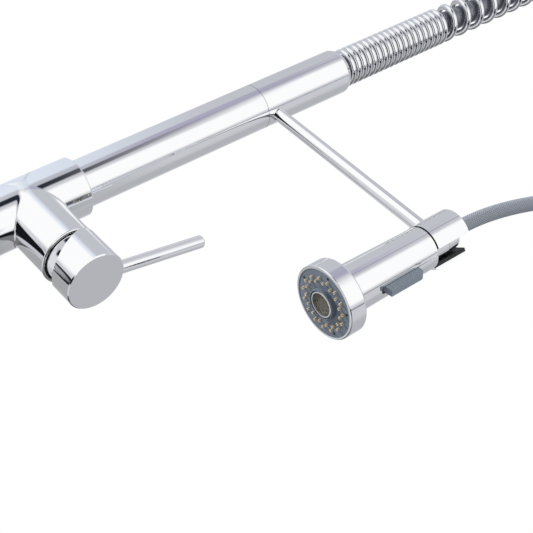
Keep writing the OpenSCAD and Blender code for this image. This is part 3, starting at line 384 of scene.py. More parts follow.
# %% Metals
def metal(name, colour, scale, clear, hazy, wave):
    """A bare or plated metal, as rough as clear to hazy, with a slight wave."""
    material = bpy.data.materials.new(name)
    material.use_nodes = True
    tree = material.node_tree
    shader = tree.nodes["Principled BSDF"]
    shader.inputs["Base Color"].default_value = colour
    shader.inputs["Metallic"].default_value = 1.0
    marks = use_group(tree, polish, {"Scale": scale, "Clear": clear, "Hazy": hazy, "Wave": wave})
    tree.links.new(marks.outputs["Roughness"], shader.inputs["Roughness"])
    tree.links.new(marks.outputs["Normal"], shader.inputs["Normal"])
    print("finish", name)
    return material


chrome_plate = metal("chrome_plate", (0.965, 0.968, 0.978, 1), 60, 0.02, 0.04, 0.012)
spring_chrome = metal("spring_chrome", (0.92, 0.925, 0.94, 1), 90, 0.03, 0.06, 0.01)
bare_brass = metal("bare_brass", (0.75, 0.58, 0.3, 1), 140, 0.22, 0.4, 0.05)
satin_steel = metal("satin_steel", (0.6, 0.6, 0.61, 1), 200, 0.25, 0.38, 0.05)

# %% [markdown]
# ## Plastics and rubbers
# Moulded parts have a fine grain that breaks up the highlight, and so has zinc plate, though it is a
# metal. An image could hold such a grain, but a noise has no seams and needs no unwrapping. One group
# makes the grain and a soft change of tone; each material gives it a size and a depth.

# %% The grain group
grain, group_in, group_out = new_group(
    "grain",
    [("Scale", "f"), ("Depth", "f"), ("Tone", "c"), ("Other tone", "c"), ("Smooth", "f"), ("Rough", "f")],
    [("Color", "c"), ("Roughness", "f"), ("Normal", "v")],
)
where = place(grain, "TexCoord")
fine = place(grain, "TexNoise", values={"Detail": 3.0},
             wires={"Vector": where.outputs["Object"], "Scale": group_in.outputs["Scale"]})
broad = place(grain, "TexNoise", values={"Detail": 2.0, "Scale": 70.0},
              wires={"Vector": where.outputs["Object"]})
tone = place(grain, "Mix", {"data_type": "RGBA"})
grain.links.new(broad.outputs["Fac"], tone.inputs[0])
grain.links.new(group_in.outputs["Tone"], tone.inputs[6])
grain.links.new(group_in.outputs["Other tone"], tone.inputs[7])
sheen = place(grain, "MapRange", values={"From Min": 0.3, "From Max": 0.7},
              wires={"Value": fine.outputs["Fac"], "To Min": group_in.outputs["Smooth"],
                     "To Max": group_in.outputs["Rough"]})
bump = place(grain, "Bump", values={"Distance": 0.0004},
             wires={"Height": fine.outputs["Fac"], "Strength": group_in.outputs["Depth"]})
grain.links.new(tone.outputs[2], group_out.inputs["Color"])
grain.links.new(sheen.outputs["Result"], group_out.inputs["Roughness"])
grain.links.new(bump.outputs["Normal"], group_out.inputs["Normal"])
print("grain group has", len(grain.nodes), "nodes")


# %% Plastics and rubbers
def moulded(name, tone_a, tone_b, scale, depth, smooth, rough, metallic=0.0):
    """A finish of two tones, written as on screen, with a grain of this scale and depth."""
    material = bpy.data.materials.new(name)
    material.use_nodes = True
    tree = material.node_tree
    shader = tree.nodes["Principled BSDF"]
    shader.inputs["Metallic"].default_value = metallic
    skin = use_group(tree, grain, {"Scale": scale, "Depth": depth, "Tone": screen(*tone_a),
                                   "Other tone": screen(*tone_b), "Smooth": smooth, "Rough": rough})
    tree.links.new(skin.outputs["Color"], shader.inputs["Base Color"])
    tree.links.new(skin.outputs["Roughness"], shader.inputs["Roughness"])
    tree.links.new(skin.outputs["Normal"], shader.inputs["Normal"])
    print("finish", name)
    return material


slate_plastic = moulded("slate_plastic", (86, 95, 106), (94, 103, 114), 900, 0.1, 0.22, 0.34)
button_plastic = moulded("button_plastic", (120, 129, 140), (125, 134, 145), 900, 0.01, 0.38, 0.42)
# Black rubber is also the finish of the ring in the branch recess and of the vent plugs, where its black is
# painted shade.
black_rubber = moulded("black_rubber", (20, 20, 22), (30, 30, 31), 1400, 0.25, 0.45, 0.6)
beige_silicone = moulded("beige_silicone", (172, 160, 138), (186, 174, 152), 900, 0.1, 0.35, 0.5)
white_acetal = moulded("white_acetal", (226, 226, 222), (236, 236, 233), 700, 0.08, 0.3, 0.42)
lapped_ceramic = moulded("lapped_ceramic", (236, 234, 228), (243, 241, 236), 400, 0.02, 0.12, 0.2)
guide_plastic = moulded("guide_plastic", (118, 120, 128), (130, 132, 140), 500, 0.05, 0.1, 0.18, metallic=0.7)
plain_hose = moulded("plain_hose", (140, 144, 152), (152, 156, 164), 800, 0.2, 0.35, 0.5)
zinc_plate = moulded("zinc_plate", (198, 200, 203), (208, 210, 213), 600, 0.06, 0.4, 0.5, metallic=0.4)

# %% [markdown]
# ## Woven surfaces
# The hose has a fine braid and the aerator a fine mesh. Real threads would cost millions of faces, so both
# are patterns: two sets of threads that cross. One group makes them from any pair of coordinates: each set is
# a sine across its threads, and the higher of the two is on top. The dark gaps, where both are low, are
# painted shade between and behind the threads.

# %% The weave group
weave, group_in, group_out = new_group(
    "weave", [("Vector", "v"), ("Across", "f"), ("Along", "f"), ("Thread", "c"), ("Gap", "c")],
    [("Color", "c"), ("Height", "f")],
)
split = place(weave, "SeparateXYZ", wires={0: group_in.outputs["Vector"]})
across = place(weave, "Math", {"operation": "MULTIPLY"},
               wires={0: split.outputs[0], 1: group_in.outputs["Across"]})
along = place(weave, "Math", {"operation": "MULTIPLY"},
              wires={0: split.outputs[1], 1: group_in.outputs["Along"]})
threads = []
for operation in ("ADD", "SUBTRACT"):
    slant = place(weave, "Math", {"operation": operation},
                  wires={0: across.outputs[0], 1: along.outputs[0]})
    turns = place(weave, "Math", {"operation": "MULTIPLY"}, {1: 2 * math.pi}, {0: slant.outputs[0]})
    threads.append(place(weave, "Math", {"operation": "SINE"}, wires={0: turns.outputs[0]}).outputs[0])
upper = place(weave, "Math", {"operation": "SMOOTH_MAX"}, {2: 0.3}, {0: threads[0], 1: threads[1]})
solid = place(weave, "MapRange", {"interpolation_type": "SMOOTHSTEP"}, {"From Min": -0.5, "From Max": 0.7},
              {"Value": upper.outputs[0]})
tone = place(weave, "Mix", {"data_type": "RGBA"})
weave.links.new(solid.outputs["Result"], tone.inputs[0])
# The gap colour is painted shade between and behind the threads.
weave.links.new(group_in.outputs["Gap"], tone.inputs[6])
weave.links.new(group_in.outputs["Thread"], tone.inputs[7])
weave.links.new(tone.outputs[2], group_out.inputs["Color"])
weave.links.new(solid.outputs["Result"], group_out.inputs["Height"])
print("weave group has", len(weave.nodes), "nodes")


# %% [markdown]
# ## Braid and mesh
# The braid follows the hose, so it reads the tube's UV map. The mesh is a flat disc, where Object
# coordinates are enough. The height of the threads goes into a Bump node, which shades the crossings.


# %% Hose and mesh
def woven(name, coordinates, across, along, thread, gap_shade, metallic, rough, depth):
    """A finish of crossing threads over gaps of painted shade, on Object coordinates or a named UV map."""
    material = bpy.data.materials.new(name)
    material.use_nodes = True
    tree = material.node_tree
    shader = tree.nodes["Principled BSDF"]
    shader.inputs["Metallic"].default_value = metallic
    shader.inputs["Roughness"].default_value = rough
    if coordinates == "Object":
        where = place(tree, "TexCoord").outputs["Object"]
    else:
        where = place(tree, "UVMap", {"uv_map": coordinates}).outputs["UV"]
    threads = use_group(tree, weave, {"Across": across, "Along": along, "Thread": screen(*thread),
                                      "Gap": screen(*gap_shade)}, {"Vector": where})
    relief = place(tree, "Bump", values={"Distance": depth, "Strength": 0.6},
                   wires={"Height": threads.outputs["Height"]})
    tree.links.new(threads.outputs["Color"], shader.inputs["Base Color"])
    tree.links.new(relief.outputs["Normal"], shader.inputs["Normal"])
    print("finish", name)
    return material


# The second colour of each finish is painted shade in the gaps between and behind the threads.
braided_hose = woven("braided_hose", "along", 18, 5.6, (146, 151, 160), (84, 89, 99), 0.0, 0.4, 0.0004)
fine_mesh = woven("fine_mesh", "Object", 900, 900, (112, 105, 96), (24, 21, 19), 0.3, 0.45, 0.0003)

# %% [markdown]
# ## Finishes on the solids
# Most solids have their final shape, so they only get a finish. Each could be given its own by hand,
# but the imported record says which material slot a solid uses, and one finish for each slot keeps
# them alike. Five solids differ from their slot: the deck fixing is zinc plated, and the aerator has
# its own mesh and a chrome rim.

# %% Finishes by slot
finish_of_slot = {
    "chrome": chrome_plate,
    "spring_steel": spring_chrome,
    "brass": bare_brass,
    "steel": satin_steel,
    "black_rubber": black_rubber,
    "beige_rubber": beige_silicone,
    "grey_plastic": slate_plastic,
    "white_plastic": white_acetal,
    "ceramic": lapped_ceramic,
    "guide_plastic": guide_plastic,
    "hose": plain_hose,
}
finish_of_node = {
    "mounting_shank": zinc_plate,
    "mounting_nut": zinc_plate,
    "clamp_washer": zinc_plate,
    "aerator_mesh": fine_mesh,
    "aerator_housing": chrome_plate,
}
for part in frame["record"]["subparts"]:
    mesh = cad[part["node"]].data
    mesh.materials.clear()
    mesh.materials.append(finish_of_node.get(part["node"], finish_of_slot[part["material_slot"]]))

# %% [markdown]
# ## Free hose
# The hose leaves the spring cap, bows outwards and comes down into the nut on the spray head. Its route is a
# list of places in millimetres, from the nut up, and the same as that of its solid. The solid could stay in
# view, but it has no map for the braid.

# %% Free hose
HOSE_D = 0.011
HOSE_PARTS, HOSE_SIDES = 6, 28
hose_route = [
    (193, 308), (193.2, 326), (195, 344), (198.9, 362), (204.8, 380), (212.6, 398), (221, 416),
    (227.8, 434), (231.6, 452), (231.9, 470), (229, 488), (224.2, 506), (219.3, 524), (215.6, 542),
    (214.2, 555), (214, 566),
]
hose_points = smooth_path([(x * MM, 0, z * MM) for x, z in reversed(hose_route)], HOSE_PARTS)
hose_length = path_length(hose_points)
hose = finish_piece(swept_tube(hose_points, HOSE_D / 2, HOSE_SIDES), "free_hose", braided_hose, None)
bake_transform(hose)
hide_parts("spray_hose")
print("hose length", round(hose_length, 4), "m")

# %% [markdown]
# ## Spring
# The spring is one wire: close turns at its foot, open turns over the arch and a few close turns
# above the cap. The wire's middle line comes from the distance along the arch, as in the solid, but
# with more rings and more sides, so it shines like drawn wire.

# %% Spring
SLEEVE_TOP, RISE, SPAN, DROP = 374.5, 232.5, 214.0, 24.0
SPRING_D, WIRE_D, CLOSE_PITCH, OPEN_PITCH = 31.0, 5.0, 5.9, 17.0
FOOT_TURNS, TAIL_TURNS = 19, 4
SEAT_GAP = 0.3
arch_radius = SPAN / 2
arch_run = math.pi * arch_radius
coil_start = WIRE_D / 2 + SEAT_GAP
coil_end = RISE + arch_run + DROP - WIRE_D / 2 - SEAT_GAP
open_run = coil_end - coil_start - (FOOT_TURNS + TAIL_TURNS) * CLOSE_PITCH
open_turns = round(open_run / OPEN_PITCH)
all_turns = FOOT_TURNS + open_turns + TAIL_TURNS
print("spring turns", all_turns, "of which open", open_turns)


# %% [markdown]
# ## Wire of the spring
# A point of the wire goes round a middle line. That line rises straight from the sleeve, turns over
# the arch and drops to the cap. A Screw modifier could wind a straight coil, but a coil that bends
# is easier as a sum: the point on the middle line plus a turn about it.


# %% Wire of the spring
def run_at(turns):
    """Distance along the arch after this many turns."""
    if turns <= FOOT_TURNS:
        return coil_start + turns * CLOSE_PITCH
    if turns <= FOOT_TURNS + open_turns:
        return coil_start + FOOT_TURNS * CLOSE_PITCH + (turns - FOOT_TURNS) * open_run / open_turns
    return coil_end - (all_turns - turns) * CLOSE_PITCH


def wire_point(turns):
    """Place of the wire's middle after this many turns."""
    run = run_at(turns)
    lean = max(0.0, min(math.pi, (run - RISE) / arch_radius))
    middle = Vector((arch_radius - arch_radius * math.cos(lean), 0,
                     SLEEVE_TOP + RISE + arch_radius * math.sin(lean)))
    if run < RISE:
        middle.z = SLEEVE_TOP + run
    elif run > RISE + arch_run:
        middle.z = SLEEVE_TOP + RISE - (run - RISE - arch_run)
    out = Vector((-math.cos(lean), 0, math.sin(lean)))
    side = Vector((0, 1, 0))
    angle = 2 * math.pi * turns
    return (middle + (SPRING_D - WIRE_D) / 2 * (math.cos(angle) * out + math.sin(angle) * side)) * MM


WIRE_RINGS, WIRE_SIDES = 28, 14
wire_points = [wire_point(i / WIRE_RINGS) for i in range(all_turns * WIRE_RINGS + 1)]
finish_piece(swept_tube(wire_points, WIRE_D / 2 * MM, WIRE_SIDES), "arch_spring", spring_chrome, "swivel",
             ["spring"])
print("spring wire", round(path_length(wire_points), 2), "m")

# %% [markdown]
# ## Main body
# The body is a casting: an upright barrel and a branch of nearly the same size. Both are turned
# pieces, with a point every millimetre near the joint, because that region is reshaped later.

# %% Barrel and branch
BODY_R, BODY_LOW, BODY_TOP = 22.5, 8.0, 122.0
BODY_RINGS, BODY_SHOULDER = range(44, 112), 119.6
TOP_ROUND, BORE_ROUND = 2, 0.3
SHANK_BORE_R, SHANK_BORE_TOP = 16.05, 28
RISER_BORE_R, RISER_BORE_LOW = 18.05, 106
BRANCH_R, BRANCH_Z, BRANCH_START, BRANCH_END = 22.0, 77.0, 1, 57.5
BRANCH_RINGS, BRANCH_SHOULDER = range(10, 36), 56.8
END_ROUND, RECESS_ROUND = 0.3, 0.2
RECESS_R, RECESS_LOW = 21.2, 54.5
NUT_BORE_R, NUT_BORE_LOW = 19.05, 46
CARTRIDGE_R, CARTRIDGE_LOW = 17.6, 22
BODY_SIDES = 240
barrel = turned(
    [(0, SHANK_BORE_TOP, 0), (SHANK_BORE_R, SHANK_BORE_TOP, 0), (SHANK_BORE_R, BODY_LOW, 0)]
    + [(BODY_R, BODY_LOW, 0)] + [(BODY_R, z, 0) for z in BODY_RINGS] + [(BODY_R, BODY_SHOULDER, 0)]
    + [(BODY_R, BODY_TOP, TOP_ROUND), (RISER_BORE_R, BODY_TOP, BORE_ROUND)]
    + [(RISER_BORE_R, RISER_BORE_LOW, 0), (0, RISER_BORE_LOW, 0)],
    sides=BODY_SIDES)
branch = turned(
    [(0, BRANCH_START, 0), (BRANCH_R, BRANCH_START, 0)] + [(BRANCH_R, x, 0) for x in BRANCH_RINGS]
    + [(BRANCH_R, BRANCH_SHOULDER, 0)]
    + [(BRANCH_R, BRANCH_END, END_ROUND), (RECESS_R, BRANCH_END, RECESS_ROUND)]
    + [(RECESS_R, RECESS_LOW, 0), (NUT_BORE_R, RECESS_LOW, 0), (NUT_BORE_R, NUT_BORE_LOW, 0)]
    + [(CARTRIDGE_R, NUT_BORE_LOW, 0), (CARTRIDGE_R, CARTRIDGE_LOW, 0), (0, CARTRIDGE_LOW, 0)],
    (0, 0, BRANCH_Z), lying=True, sides=BODY_SIDES)
print("barrel", len(barrel.faces), "faces, branch", len(branch.faces), "faces")


# %% [markdown]
# ## Joining the two
# A Boolean modifier joins barrel and branch. It needs two objects for a moment, and its result is
# read from the evaluated object, so nothing has to be applied by hand.


# %% Joining the two
def joined(first, second):
    """Boolean union of two bmeshes, as a mesh."""
    parts = []
    for bm in (first, second):
        mesh = bpy.data.meshes.new("blank")
        bm.to_mesh(mesh)
        bm.free()
        blank = bpy.data.objects.new("blank", mesh)
        bpy.context.scene.collection.objects.link(blank)
        parts.append(blank)
    cut = parts[0].modifiers.new("join", "BOOLEAN")
    cut.operation = "UNION"
    cut.solver = "EXACT"
    cut.object = parts[1]
    graph = bpy.context.evaluated_depsgraph_get()
    result = bpy.data.meshes.new_from_object(parts[0].evaluated_get(graph))
    for blank in parts:
        bpy.data.objects.remove(blank)
    return result


tee = joined(barrel, branch)
print("joined body has", len(tee.vertices), "vertices")

# %% [markdown]
# ## Fillet of the casting
# A real casting has a small fillet where barrel and branch meet. A bevel along the joint would leave
# uneven faces, which chrome shows as ripples. Instead, the distance from a rounded union of the two
# cylinders is worked out, and each vertex near the joint is moved along its slope onto that shape.

# %% Rounded union
FILLET = 1.0


def rounded_union(p):
    """Distance in millimetres from the two cylinders, joined with a fillet."""
    to_body = math.hypot(p.x, p.y) - BODY_R
    to_branch = math.hypot(p.y, p.z - BRANCH_Z) - BRANCH_R
    into_body, into_branch = max(FILLET - to_body, 0), max(FILLET - to_branch, 0)
    return max(FILLET, min(to_body, to_branch)) - math.hypot(into_body, into_branch)


def slope_at(p, step=0.01):
    """How fast that distance grows along X, Y and Z."""
    return Vector([
        (rounded_union(p + d) - rounded_union(p - d)) / (2 * step)
        for d in (Vector((step, 0, 0)), Vector((0, step, 0)), Vector((0, 0, step)))
    ])


sharp_corner = Vector((BODY_R, 0, BRANCH_Z + BRANCH_R))
print("the sharp corner lies", round(-rounded_union(sharp_corner), 2), "mm inside the fillet")

# %% Fillet of the casting
SKIN = 0.05
JOINT_LOW, JOINT_TOP, JOINT_FAR = 40, 114, 40
LEAST_SLOPE = 0.2
ROUNDS = 4
CLOSE_POINTS, NO_LENGTH, LEAST_MOVE = 2e-5, 1e-6, 1e-5
moved = 0
for v in tee.vertices:
    p = v.co / MM
    out = math.hypot(p.x, p.y) > BODY_R - SKIN and math.hypot(p.y, p.z - BRANCH_Z) > BRANCH_R - SKIN
    if not (out and JOINT_LOW < p.z < JOINT_TOP and p.x < JOINT_FAR):
        continue
    for _ in range(ROUNDS):
        slope = slope_at(p)
        p = p - slope * (rounded_union(p) / max(slope.length_squared, LEAST_SLOPE))
    moved += (p * MM - v.co).length > LEAST_MOVE
    v.co = p * MM
bm = bmesh.new()
bm.from_mesh(tee)
bmesh.ops.remove_doubles(bm, verts=bm.verts, dist=CLOSE_POINTS)
bmesh.ops.dissolve_degenerate(bm, edges=bm.edges, dist=NO_LENGTH)
tee_body = finish_piece(bm, "tee_body", chrome_plate, "column", ["main_body"])
print("moved", moved, "vertices onto the fillet")

# %% [markdown]
# ## Shading of the fillet
# The vertices now lie on the rounded shape, but the faces between them are long and uneven. The
# shading takes its normals from the rounded shape itself, so the reflections run over the joint
# without a crease. Away from the two cylinders, as in the bores, the mesh keeps its own normals.

# %% Shading of the fillet
ON_SHAPE = 0.06
SAME_SIDE = 0.85
mesh = tee_body.data
auto = [Vector(c.vector) for c in mesh.corner_normals]
normals = []
for face in mesh.polygons:
    for k in face.loop_indices:
        p = mesh.vertices[mesh.loops[k].vertex_index].co / MM
        slope = slope_at(p).normalized() if abs(rounded_union(p)) < ON_SHAPE else Vector()
        normals.append(slope if slope.dot(face.normal) > SAME_SIDE else auto[k])
mesh.normals_split_custom_set(normals)
print("set", len(normals), "normals")

# %% [markdown]
# ## Shadow gap
# Between the branch and the dome there is a narrow recess, which looks black. Chrome walls would mirror each
# other there and stay bright, so a black ring of painted shade lies in the recess and comes up its wall; it
# has the black rubber finish but is no real part.

# %% Ring of painted shade
RING_IN, RING_LIP_IN, RING_OUT = 20.5, 20.95, 21.17
RING_LOW, RING_SHOULDER, RING_TOP, RING_ROUND = 54.6, 55.95, 57.2, 0.1
painted_shade_ring = turned([
    (RING_IN, RING_LOW, 0), (RING_OUT, RING_LOW, 0), (RING_OUT, RING_TOP, RING_ROUND),
    (RING_LIP_IN, RING_TOP, RING_ROUND), (RING_IN, RING_SHOULDER, 0), (RING_IN, RING_LOW, 0),
], (0, 0, BRANCH_Z), lying=True)
# The ring's black is painted shade for the dark recess.
finish_piece(painted_shade_ring, "painted_shade_ring", black_rubber, "column")

# %% [markdown]
# ## Handle cap, clip and button
# These come from their solids with softer edges, which is quicker than modelling them again and keeps every
# cut where it was. The plated edges get a fine rounding that catches a line of light, and the moulded button
# a wider one. The black liner lines the clip, and its edge that shows below the clip is also painted shade
# for the dark gap between clip and shell.

# %% Softened pieces
softened("handle_cap", "cap_of_handle", "handle", 0.45, chrome_plate, least=30, segments=4)
softened("holder_clip", "clip_of_holder", "swivel", 0.3, chrome_plate)
# The liner lines the clip; its black edge below the clip is also painted shade for the gap to the shell.
softened("clip_liner", "liner_and_gap_shade", "swivel", 0.3, black_rubber)
softened("spray_button", "rocker_button", "button", 0.5, button_plastic, least=20)

# %% [markdown]
# ## Vents
# The five small vents of the face plate look black, because they open into the dark inside of the head. Light
# would still find its way up such a short hole, so a black plug of painted shade, set a little back from the
# face, stands for that dark.

# %% Vent plugs of painted shade
HEAD_X, PLATE_Z = 193.0, 188.5
VENTS, VENT_RING_R, VENT_R, VENT_TURN = 5, 22.6, 0.88, 54.5
PLUG_UP, PLUG_DEPTH, PLUG_SIDES = 0.42, 0.6, 20
bm = bmesh.new()
for i in range(VENTS):
    angle = math.radians(VENT_TURN + 360 / VENTS * i)
    along_x, along_y = HEAD_X + VENT_RING_R * math.cos(angle), VENT_RING_R * math.sin(angle)
    centre = Vector((along_x, along_y, PLATE_Z + PLUG_UP)) * MM
    bmesh.ops.create_cone(bm, cap_ends=True, segments=PLUG_SIDES, radius1=VENT_R * MM, radius2=VENT_R * MM,
                          depth=PLUG_DEPTH * MM, matrix=Matrix.Translation(centre))
# The plugs' black is painted shade for the dark inside of the head.
finish_piece(bm, "vent_shade_plugs", black_rubber, "head")

# %% [markdown]
# ## Studio reflections
# Chrome shows only what stands round it, so the world is a set of cards, as in a product studio: a
# large soft box in front, a lavender card and a dark flag beside it, grey walls and a light behind.
# Real card objects would throw shadows and get in each other's way, so each card is a soft rectangle
# in the world's colour, given by its azimuth and elevation in degrees. One group draws one card over
# what is under it.

# %% The card group
card, group_in, group_out = new_group(
    "studio_card",
    [("Azimuth", "f"), ("Elevation", "f"), ("Middle", "f"), ("Half width", "f"), ("Side feather", "f"),
     ("Height", "f"), ("Half height", "f"), ("Top feather", "f"), ("Under", "c"), ("Card", "c")],
    [("Color", "c")],
)
HALF_TURN = 180.0


def soft_edge(distance, half, feather):
    """1 inside the half size and 0 outside, over a feather."""
    near = place(card, "Math", {"operation": "SUBTRACT"}, wires={0: half, 1: feather})
    far = place(card, "Math", {"operation": "ADD"}, wires={0: half, 1: feather})
    fall = place(card, "MapRange", {"interpolation_type": "SMOOTHSTEP"}, {"To Min": 1.0, "To Max": 0.0},
                 {"Value": distance, "From Min": near.outputs[0], "From Max": far.outputs[0]})
    return fall.outputs["Result"]


side_step = place(card, "Math", {"operation": "SUBTRACT"},
                  wires={0: group_in.outputs["Azimuth"], 1: group_in.outputs["Middle"]})
wrapped = place(card, "Math", {"operation": "WRAP"}, {1: HALF_TURN, 2: -HALF_TURN}, {0: side_step.outputs[0]})
side_size = place(card, "Math", {"operation": "ABSOLUTE"}, wires={0: wrapped.outputs[0]})
up_step = place(card, "Math", {"operation": "SUBTRACT"},
                wires={0: group_in.outputs["Elevation"], 1: group_in.outputs["Height"]})
up_size = place(card, "Math", {"operation": "ABSOLUTE"}, wires={0: up_step.outputs[0]})
both = place(card, "Math", {"operation": "MULTIPLY"}, wires={
    0: soft_edge(side_size.outputs[0], group_in.outputs["Half width"], group_in.outputs["Side feather"]),
    1: soft_edge(up_size.outputs[0], group_in.outputs["Half height"], group_in.outputs["Top feather"]),
})
blend = place(card, "Mix", {"data_type": "RGBA"})
card.links.new(both.outputs[0], blend.inputs[0])
card.links.new(group_in.outputs["Under"], blend.inputs[6])
card.links.new(group_in.outputs["Card"], blend.inputs[7])
card.links.new(blend.outputs[2], group_out.inputs["Color"])
print("card group has", len(card.nodes), "nodes")

# %% [markdown]
# ## Direction of a ray
# The world's Generated coordinates are the ray's direction. Two angles come from it: the azimuth,
# from +X towards +Y, and the elevation above the horizon.

# %% Direction of a ray
world = bpy.data.worlds.new("studio")
bpy.context.scene.world = world
world.use_nodes = True
tree = world.node_tree
background = tree.nodes["Background"]
direction = place(tree, "TexCoord")
parts = place(tree, "SeparateXYZ", wires={0: direction.outputs["Generated"]})
azimuth = place(tree, "Math", {"operation": "ARCTAN2"}, wires={0: parts.outputs["Y"], 1: parts.outputs["X"]})
azimuth = place(tree, "Math", {"operation": "DEGREES"}, wires={0: azimuth.outputs[0]})
elevation = place(tree, "Math", {"operation": "ARCSINE"}, wires={0: parts.outputs["Z"]})
elevation = place(tree, "Math", {"operation": "DEGREES"}, wires={0: elevation.outputs[0]})
print("directions ready")

# %% [markdown]
# ## The cards
# Each row is a card: its name, azimuth, half width and feather, then its elevation, half height and
# feather, and its colour as on screen. A later card lies over an earlier one.

# %% The cards
STUDIO_WALL = (200, 202, 207)
studio_cards = [
    ("floor glow", 0, 180, 0.1, -90, 35, 8, (222, 223, 226)),
    ("back wall", 180, 62, 8, 25, 40, 14, (193, 195, 202)),
    ("back strip", 180, 60, 8, 17, 10, 5, (220, 228, 240)),
    ("side wall", 70, 30, 14, 40, 40, 8, (178, 180, 184)),
    ("low side wall", 58, 50, 5, -8, 27, 3, (120, 121, 122)),
    ("dark side card", 78, 10, 8, -32, 10, 6, (74, 75, 77)),
    ("low back wall", 143, 18, 6, -22, 30, 8, (166, 167, 169)),
    ("rim light", 132, 8, 5, 20, 12, 5, (233, 238, 245)),
    ("flag shoulder", -116, 8, 4, 10, 16, 6, (181, 183, 191)),
    ("flag haze", -112, 15, 5, 31, 5, 3, (172, 170, 190)),
    ("dark flag", -97, 9.5, 4, 10, 17.5, 5.5, (36, 40, 52)),
    ("left arm of flag", -108, 2.5, 2.5, 37, 4, 2, (160, 160, 174)),
    ("low fill", -134, 24, 6, -15, 33, 6, (255, 255, 255)),
    ("front box", -42, 32, 8, -8, 50, 4, (255, 255, 255)),
    ("high glow", -35, 35, 28, 45, 7, 3, (252, 252, 254)),
    ("high box", -60, 27, 9, 36.5, 4.5, 3.5, (255, 255, 255)),
    ("post shade", 24, 16, 6, 20, 5, 4, (163, 168, 169)),
    ("thin flag", 1, 6, 3, 4, 24, 5, (80, 84, 92)),
    ("fine line", 1, 1.5, 1.5, 38, 14, 2, (112, 115, 122)),
    ("black strip", 5, 12, 4, -22, 22, 5, (24, 24, 28)),
    ("black post", 10, 4, 3, 0, 20, 3, (24, 24, 28)),
    ("low black card", -35, 52, 6, -52, 12, 5, (22, 22, 26)),
]
colour = place(tree, "RGB")
colour.outputs[0].default_value = screen(*STUDIO_WALL)
seen = colour.outputs[0]
for title, middle, half, feather, height, half_height, top_feather, shade in studio_cards:
    one = use_group(tree, card, {
        "Middle": middle, "Half width": half, "Side feather": feather, "Height": height,
        "Half height": half_height, "Top feather": top_feather, "Card": screen(*shade),
    }, {"Azimuth": azimuth.outputs[0], "Elevation": elevation.outputs[0], "Under": seen})
    one.label = title
    seen = one.outputs["Color"]
print("studio cards", len(studio_cards))

# %% [markdown]
# ## What each ray sees
# Only mirror rays see the cards. The cards could light everything, but each change to a reflection
# would then change the matt pieces too. The camera sees plain white behind the faucet, and every
# other ray brings an even soft light to the matt pieces.

# %% What each ray sees
SOFT_LIGHT, WHITE = (0.62, 0.63, 0.65, 1), (1, 1, 1, 1)
rays = place(tree, "LightPath")
mirror_ray = place(tree, "Math", {"operation": "MAXIMUM"},
                   wires={0: rays.outputs["Is Glossy Ray"], 1: rays.outputs["Is Transmission Ray"]})
soft_or_cards = place(tree, "Mix", {"data_type": "RGBA"})
soft_or_cards.inputs[6].default_value = SOFT_LIGHT
tree.links.new(mirror_ray.outputs[0], soft_or_cards.inputs[0])
tree.links.new(seen, soft_or_cards.inputs[7])
white_for_camera = place(tree, "Mix", {"data_type": "RGBA"})
white_for_camera.inputs[7].default_value = WHITE
tree.links.new(rays.outputs["Is Camera Ray"], white_for_camera.inputs[0])
tree.links.new(soft_or_cards.outputs[2], white_for_camera.inputs[6])
tree.links.new(white_for_camera.outputs[2], background.inputs["Color"])
print("world ready")

# %% [markdown]
# ## Floor
# The floor is a wide pale sheet just under the mounting nut. It is seen only from above, so the low
# camera looks through it, and it fades to white far out, so it has no edge. It takes the faucet's
# shadow but throws none, so the low lamp reaches the spray head from below.

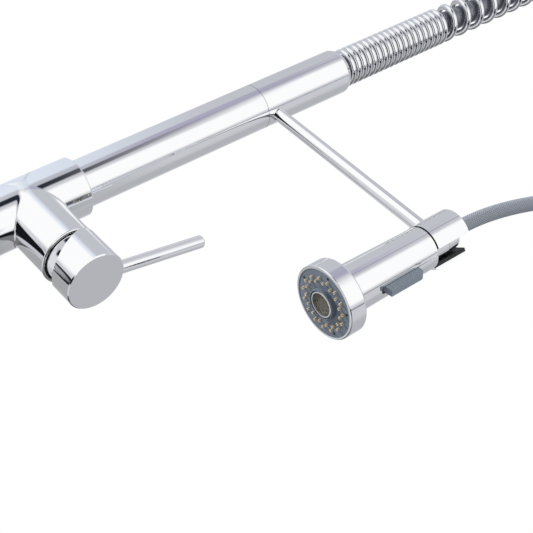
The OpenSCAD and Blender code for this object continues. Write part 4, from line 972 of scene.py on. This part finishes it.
# %% Floor
FLOOR_DROP = 0.0005
FLOOR_SIZE = 3.0
FLOOR_TONE, FLOOR_ROUGHNESS = (236, 236, 236), 0.7
FADE_FROM, FADE_TO = 0.5, 1.6
bm = bmesh.new()
bmesh.ops.create_grid(bm, x_segments=1, y_segments=1, size=FLOOR_SIZE)
bmesh.ops.translate(bm, verts=bm.verts, vec=(0, 0, cad_low[2] - FLOOR_DROP))
floor_paint = bpy.data.materials.new("floor_paint")
floor_paint.use_nodes = True
tree = floor_paint.node_tree
shader = tree.nodes["Principled BSDF"]
shader.inputs["Base Color"].default_value = screen(*FLOOR_TONE)
shader.inputs["Roughness"].default_value = FLOOR_ROUGHNESS
where = place(tree, "TexCoord")
far_out = place(tree, "VectorMath", {"operation": "LENGTH"}, wires={0: where.outputs["Object"]})
fade = place(tree, "MapRange", {"interpolation_type": "SMOOTHSTEP"},
             {"From Min": FADE_FROM, "From Max": FADE_TO}, {"Value": far_out.outputs["Value"]})
glow = place(tree, "Emission", values={"Color": WHITE})
sheet = place(tree, "MixShader", wires={0: fade.outputs["Result"], 1: shader.outputs[0], 2: glow.outputs[0]})
clear = place(tree, "BsdfTransparent")
facing = place(tree, "NewGeometry")
rays = place(tree, "LightPath")
unseen = place(tree, "Math", {"operation": "MAXIMUM"},
               wires={0: facing.outputs["Backfacing"], 1: rays.outputs["Is Glossy Ray"]})
top = place(tree, "MixShader", wires={0: unseen.outputs[0], 1: sheet.outputs[0], 2: clear.outputs[0]})
tree.links.new(top.outputs[0], tree.nodes["Material Output"].inputs["Surface"])
floor_mesh = bpy.data.meshes.new("floor")
bm.to_mesh(floor_mesh)
bm.free()
floor_mesh.materials.append(floor_paint)
floor = bpy.data.objects.new("floor", floor_mesh)
bpy.context.scene.collection.objects.link(floor)
floor.visible_shadow = False
print("floor at", round(cad_low[2] - FLOOR_DROP, 4))


# %% [markdown]
# ## Lamps
# The world's even light alone would leave the matt pieces flat. A large lamp in front gives them a
# soft light side, and a smaller low one lights the spray head's face. Square area lamps are used,
# for soft shadows, and mirror rays don't see them.


# %% Lamps
def soft_lamp(name, place_at, aim, size, power):
    """A square lamp at a place, aimed at another."""
    data = bpy.data.lights.new(name, "AREA")
    data.shape = "SQUARE"
    data.size = size
    data.energy = power
    lamp = bpy.data.objects.new(name, data)
    bpy.context.scene.collection.objects.link(lamp)
    lamp.location = place_at
    lamp.rotation_euler = (Vector(aim) - Vector(place_at)).to_track_quat("-Z", "Y").to_euler()
    lamp.visible_glossy = False


soft_lamp("front_lamp", (0.9, -1.6, 1.3), (0.1, 0, 0.3), 1.2, 16)
soft_lamp("low_lamp", (-1.1, -0.45, -0.35), (0.19, 0, 0.19), 0.4, 34)
bpy.context.scene.view_settings.view_transform = "Standard"
